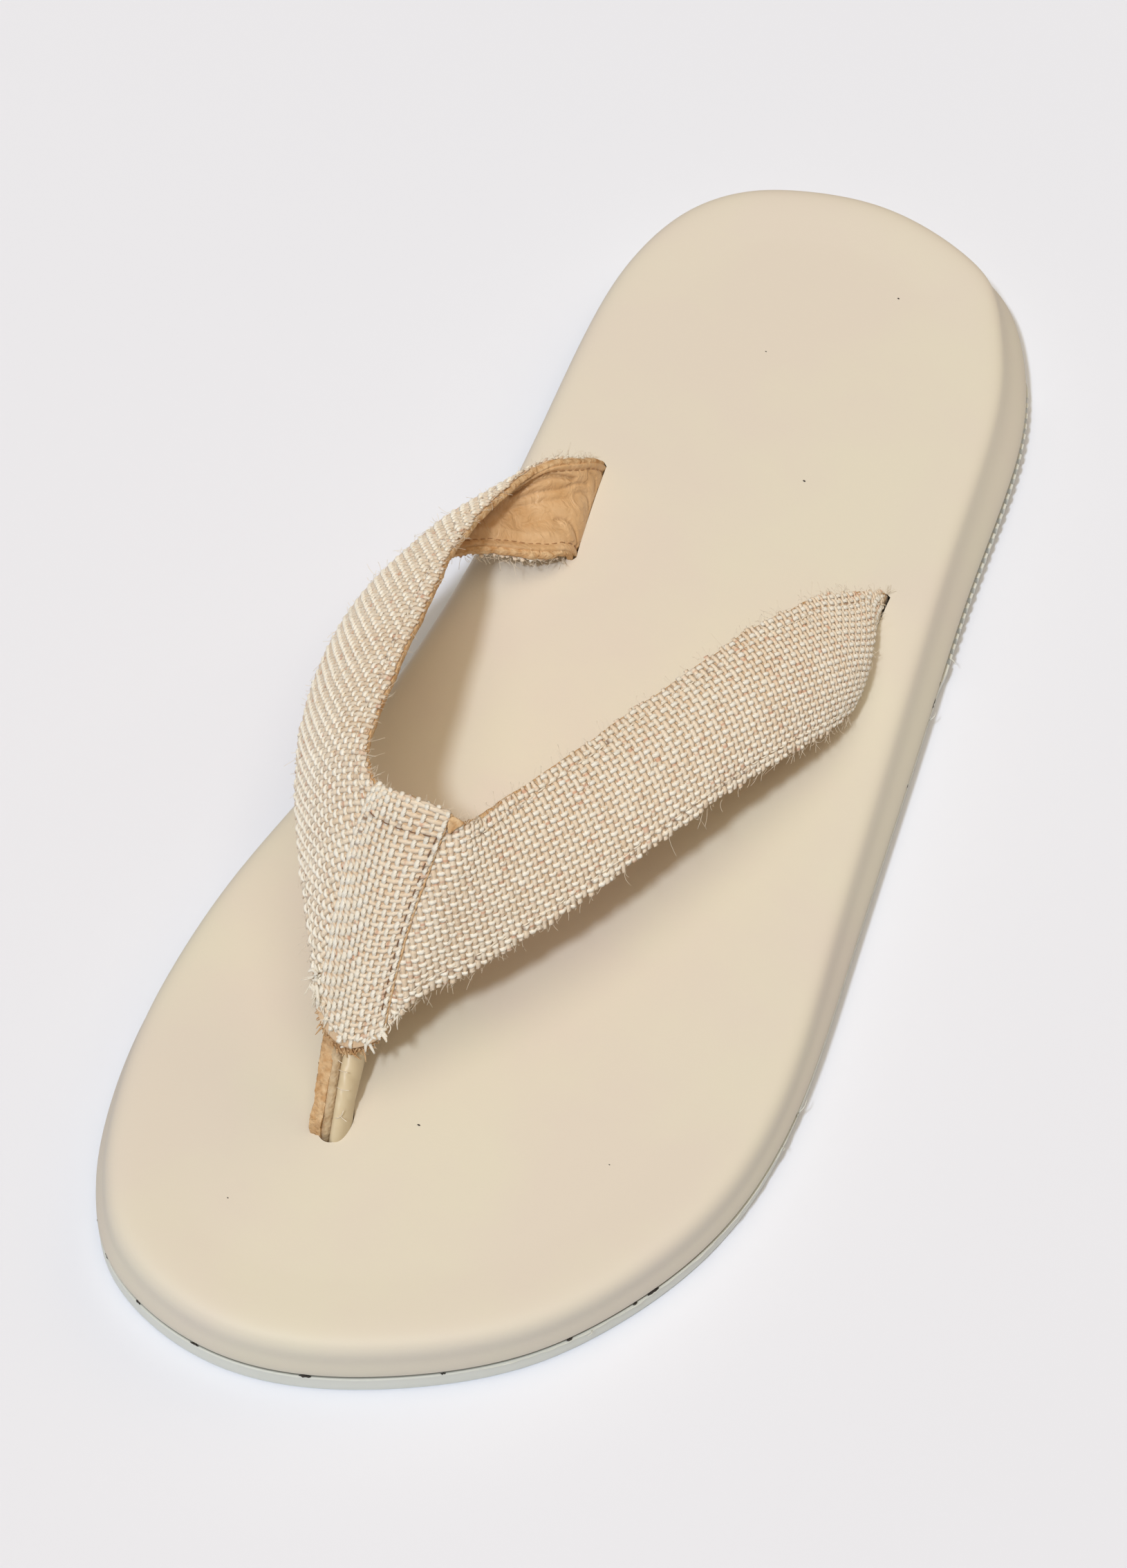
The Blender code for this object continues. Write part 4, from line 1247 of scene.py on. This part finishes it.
post = dict(
    # centre line x, y, z, half width, half depth
    path=(
        (16, 97, 8, 2.9, 4.3), (16, 96.8, 13, 2.9, 4.3), (16.4, 94.8, 17.8, 3.1, 4.2),
        (17.9, 89.3, 22.2, 3.6, 4.1), (19.2, 82.4, 26.5, 3.9, 3.9), (19.6, 77.6, 32.2, 4, 3.6),
    ),
    steps=90, fit=0.12, mouth=17.4,
    # middle of the rolled strip in the post's section, sideways and to the front, and its thickness
    strip=(
        (2.85, 3.6, 2.6), (3, 1.7, 2.3), (3.25, -0.6, 1.6), (2.1, -2.8, 1.4), (0, -3.5, 1.4),
        (-2.2, -2.7, 1.4), (-3.4, -0.4, 1.4), (-3.2, 1.8, 1.4), (-2.2, 3.2, 1.3), (-1.2, 3.3, 1.2),
        (-0.8, 2, 1.1),
    ),
    stripHalf=(4.1, 4.35), stripPoints=60,
    # points of the section on the cut edge, after its start and before its end
    cutPoints=(5, 14),
    # what is rolled inside it: middle and half sizes
    core=(1.2, 2.05, 1.42, 1.4), coreSides=24,
    # creases on the smooth side: height, slope, depth, width
    creases=(
        (23.6, 0.55, 0.16, 0.45), (22, 0.75, 0.2, 0.4), (20.6, 0.6, 0.16, 0.4), (25.2, -0.4, 0.12, 0.45),
    ),
    # loose threads: height, place across, way
    threads=(
        (24.6, 0.4, (-0.9, 0.25, 0.55)), (23.2, 0.2, (-1, 0.2, -0.5)), (22.6, -0.2, (-0.7, 0.3, 0.7)),
        (25.6, 0.5, (0.9, 0.3, 0.5)), (21, -0.4, (-0.8, 0.3, 0.3)), (18.6, -1.4, (-1, 0.4, 0.15)),
        (18.3, -1, (-0.9, 0.1, 0.5)), (27.5, 0.8, (0.5, 0.5, 0.4)), (27.8, -1.2, (-0.6, 0.5, -0.4)),
    ),
)


def postFrames(steps):
    path = np.array(post["path"])
    table = evenCurve(path, chordKnots(path[:, :3]), steps)
    ahead = unit(np.gradient(table[:, :3], axis=0))
    side = unit(np.array([1, 0, 0]) - ahead * ahead[:, :1])
    return table, side, np.cross(ahead, side)


def postStrip():
    strip = np.array(post["strip"])
    fine = evenCurve(strip, chordKnots(strip[:, :2]), post["stripPoints"])
    tangent = unit(np.gradient(fine[:, :2], axis=0))
    half = np.column_stack([-tangent[:, 1], tangent[:, 0]]) * fine[:, 2:] / 2
    return fine[:, :2] + half, fine[:, :2] - half


def postLeather():
    table, side, front = postFrames(post["steps"])
    outer, inner = postStrip()
    count, sides = post["stripPoints"], post["coreSides"]
    shares = np.array((0.2, 0.4, 0.6, 0.8))[:, None]
    ends, starts = outer[-1] * (1 - shares) + inner[-1] * shares, inner[0] * (1 - shares) + outer[0] * shares
    section = np.concatenate([outer, ends, inner[::-1], starts])
    skin = np.concatenate([ease(3, 12, np.arange(count)), np.zeros(len(section) - count)])
    raw = 1 - skin
    rng = np.random.default_rng(21)
    rough = raw * rng.normal(0, 0.08, (len(table), len(section)))
    rough = rough + wander(rng, len(section), table[:, 2], (3, 5, 9)).T * raw * 0.1
    drift = wander(rng, 1, table[:, 2], (4, 7, 13))[0]
    core = circle(sides) * post["core"][2:] + post["core"][:2]
    rows, coreRows = [], []
    for k, (*middle, wide, deep) in enumerate(table):
        height, axes = middle[2], np.array([side[k], front[k]])
        scale = np.array([wide, deep]) / post["stripHalf"]
        place = section * scale * (1 + 0.03 * math.sin(height * 0.9))
        out, depth = unit(place), rough[k]
        for at, slope, sunk, width in post["creases"]:
            crease = bell(height - at - slope * place[:, 0], width)
            depth = depth - sunk * crease * skin * (place[:, 1] > -1)
        # the raw end wavers sideways and forwards, and spreads where it enters the sole
        place = place + out * depth[:, None] + raw[:, None] * (0.16 * drift[k], 0.14 * drift[k - 9])
        place = place * (1 + 0.16 * raw * bell(height - post["mouth"], 2.2))[:, None]
        rows.append(middle + place @ axes)
        coreRows.append(middle + (core * scale * (1 + 0.05 * drift[k - 20])) @ axes)
    parts = (rows, len(section)), (coreRows, sides)
    points, faces = gather([(part, loftFaces(len(part), around)) for part, around in parts])
    # smooth skin, cut edge and flesh side of the leather
    first, last = post["cutPoints"]
    cut = [c < first or c >= len(section) - last for c in range(len(section))]
    slots = [1 if edge else 0 if c < count - 1 else 2 for c, edge in enumerate(cut)]
    slots = slots * (len(rows) - 1) + [1, 1] + [2] * (sides * (len(rows) - 1) + 2)
    stain = np.concatenate([np.tile(raw, len(rows)), np.ones(sides * len(rows))])
    dirtAndShade = np.clip(rng.uniform(-0.4, 0.35, len(points)), 0, 1) * stain
    piece = makePiece("toe_post_leather", points, faces, [postSkin, rawLeather, fleshLeather], "toe_post",
                      slots=slots, dirtAndShade=dirtAndShade, sharp=60)
    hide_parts("toe_post")


postRoot = dict(
    # place along the strap's width, half width and height over the lining, from the post up
    stations=((0.915, 4.05, 8.55), (0.895, 4.35, 8.85), (0.87, 4.5, 8.9), (0.84, 4.7, 8.3), (0.8, 4.9, 6.4),
              (0.75, 5.1, 4.1), (0.7, 5.2, 2.4), (0.65, 5.1, 1.3), (0.61, 4.6, 0.6), (0.585, 3.6, 0.15)),
    station=9.95, folds=7, foldDeep=0.16, sunk=0.7,
)


def postTop():
    # lining leather drawn over the end of the post and sewn down
    table = np.array(postRoot["stations"])
    turn = np.pi * np.linspace(0, 1, 41)
    rows = []
    for k, (v, wide, high) in enumerate(evenCurve(table, chordKnots(table * (45, 1, 1)), 48)):
        here = strapFrame(np.array([postRoot["station"]]), v, -strap["thick"])
        base, along, _, up = (part[0] for part in here)
        fold = 1 + postRoot["foldDeep"] / max(wide, 1) * np.cos(2 * postRoot["folds"] * turn + 0.05 * k)
        down = np.sin(turn) ** 0.8 * high * fold - postRoot["sunk"]
        rows.append(base + np.outer(np.cos(turn) * wide * fold, along) - np.outer(down, up))
    makePiece("post_root", np.array(rows), loftFaces(48, 41), [lining], "strap", sharp=60)


def postThreads():
    # loose ends of thread at the post's seam and at its foot
    rng = np.random.default_rng(40)
    table, side, front = postFrames(60)
    lines = []
    for height, across, way in post["threads"]:
        k = int(np.abs(table[:, 2] - height).argmin())
        root = table[k, :3] + side[k] * across + front[k] * (table[k, 4] - 0.5)
        lines.append(fibreLines(rng, root[None], unit(np.array([way])), rng.uniform(1.8, 3.4, 1), 0.2)[0])
    hairPiece("post_threads", np.array(lines), 0.075, 5, creamThread, "toe_post")


def postCutter():
    table, side, front = postFrames(24)
    table[0, 2] -= post["fit"]
    reach = circle(40) * (table[:, None, 3:] + post["fit"] + 0.05)
    points = table[:, None, :3] + reach[..., :1] * side[:, None] + reach[..., 1:] * front[:, None]
    return points, loftFaces(24, 40)


# building

points, faces, dirtAndShade = footbedSkin()
footbedPiece = makePiece("footbed_foam", points, faces, [foam], "footbed", dirtAndShade=dirtAndShade)
strapSlots = tailCutter(-1.05, 0.6), tailCutter(lastStation - 0.6, lastStation + 1.05)
cutFrom(footbedPiece, (*strapSlots, postCutter()))
footbedPiece.data.shade_smooth()
footbedPiece.data.set_sharp_from_angle(angle=math.radians(footbed["sharp"]))
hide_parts("footbed")
print("footbed built")

points, faces, dirtAndShade = outsoleSkin()
outsolePiece = makePiece("outsole_rubber", points, faces, [rubber], "outsole", dirtAndShade=dirtAndShade, sharp=40)
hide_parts("outsole")
jointDetails()
print("outsole built")

leatherBand()
liningSheet()
clothArm("medial")
clothArm("lateral")
strapSeams()
print("strap built")

net = patchNet()
patchCloth(*net)
patchStitches(*net)
patchBacking()
notchLeather()
looseFibres()
print("patch built")

postLeather()
postTop()
postThreads()
print("toe post built")
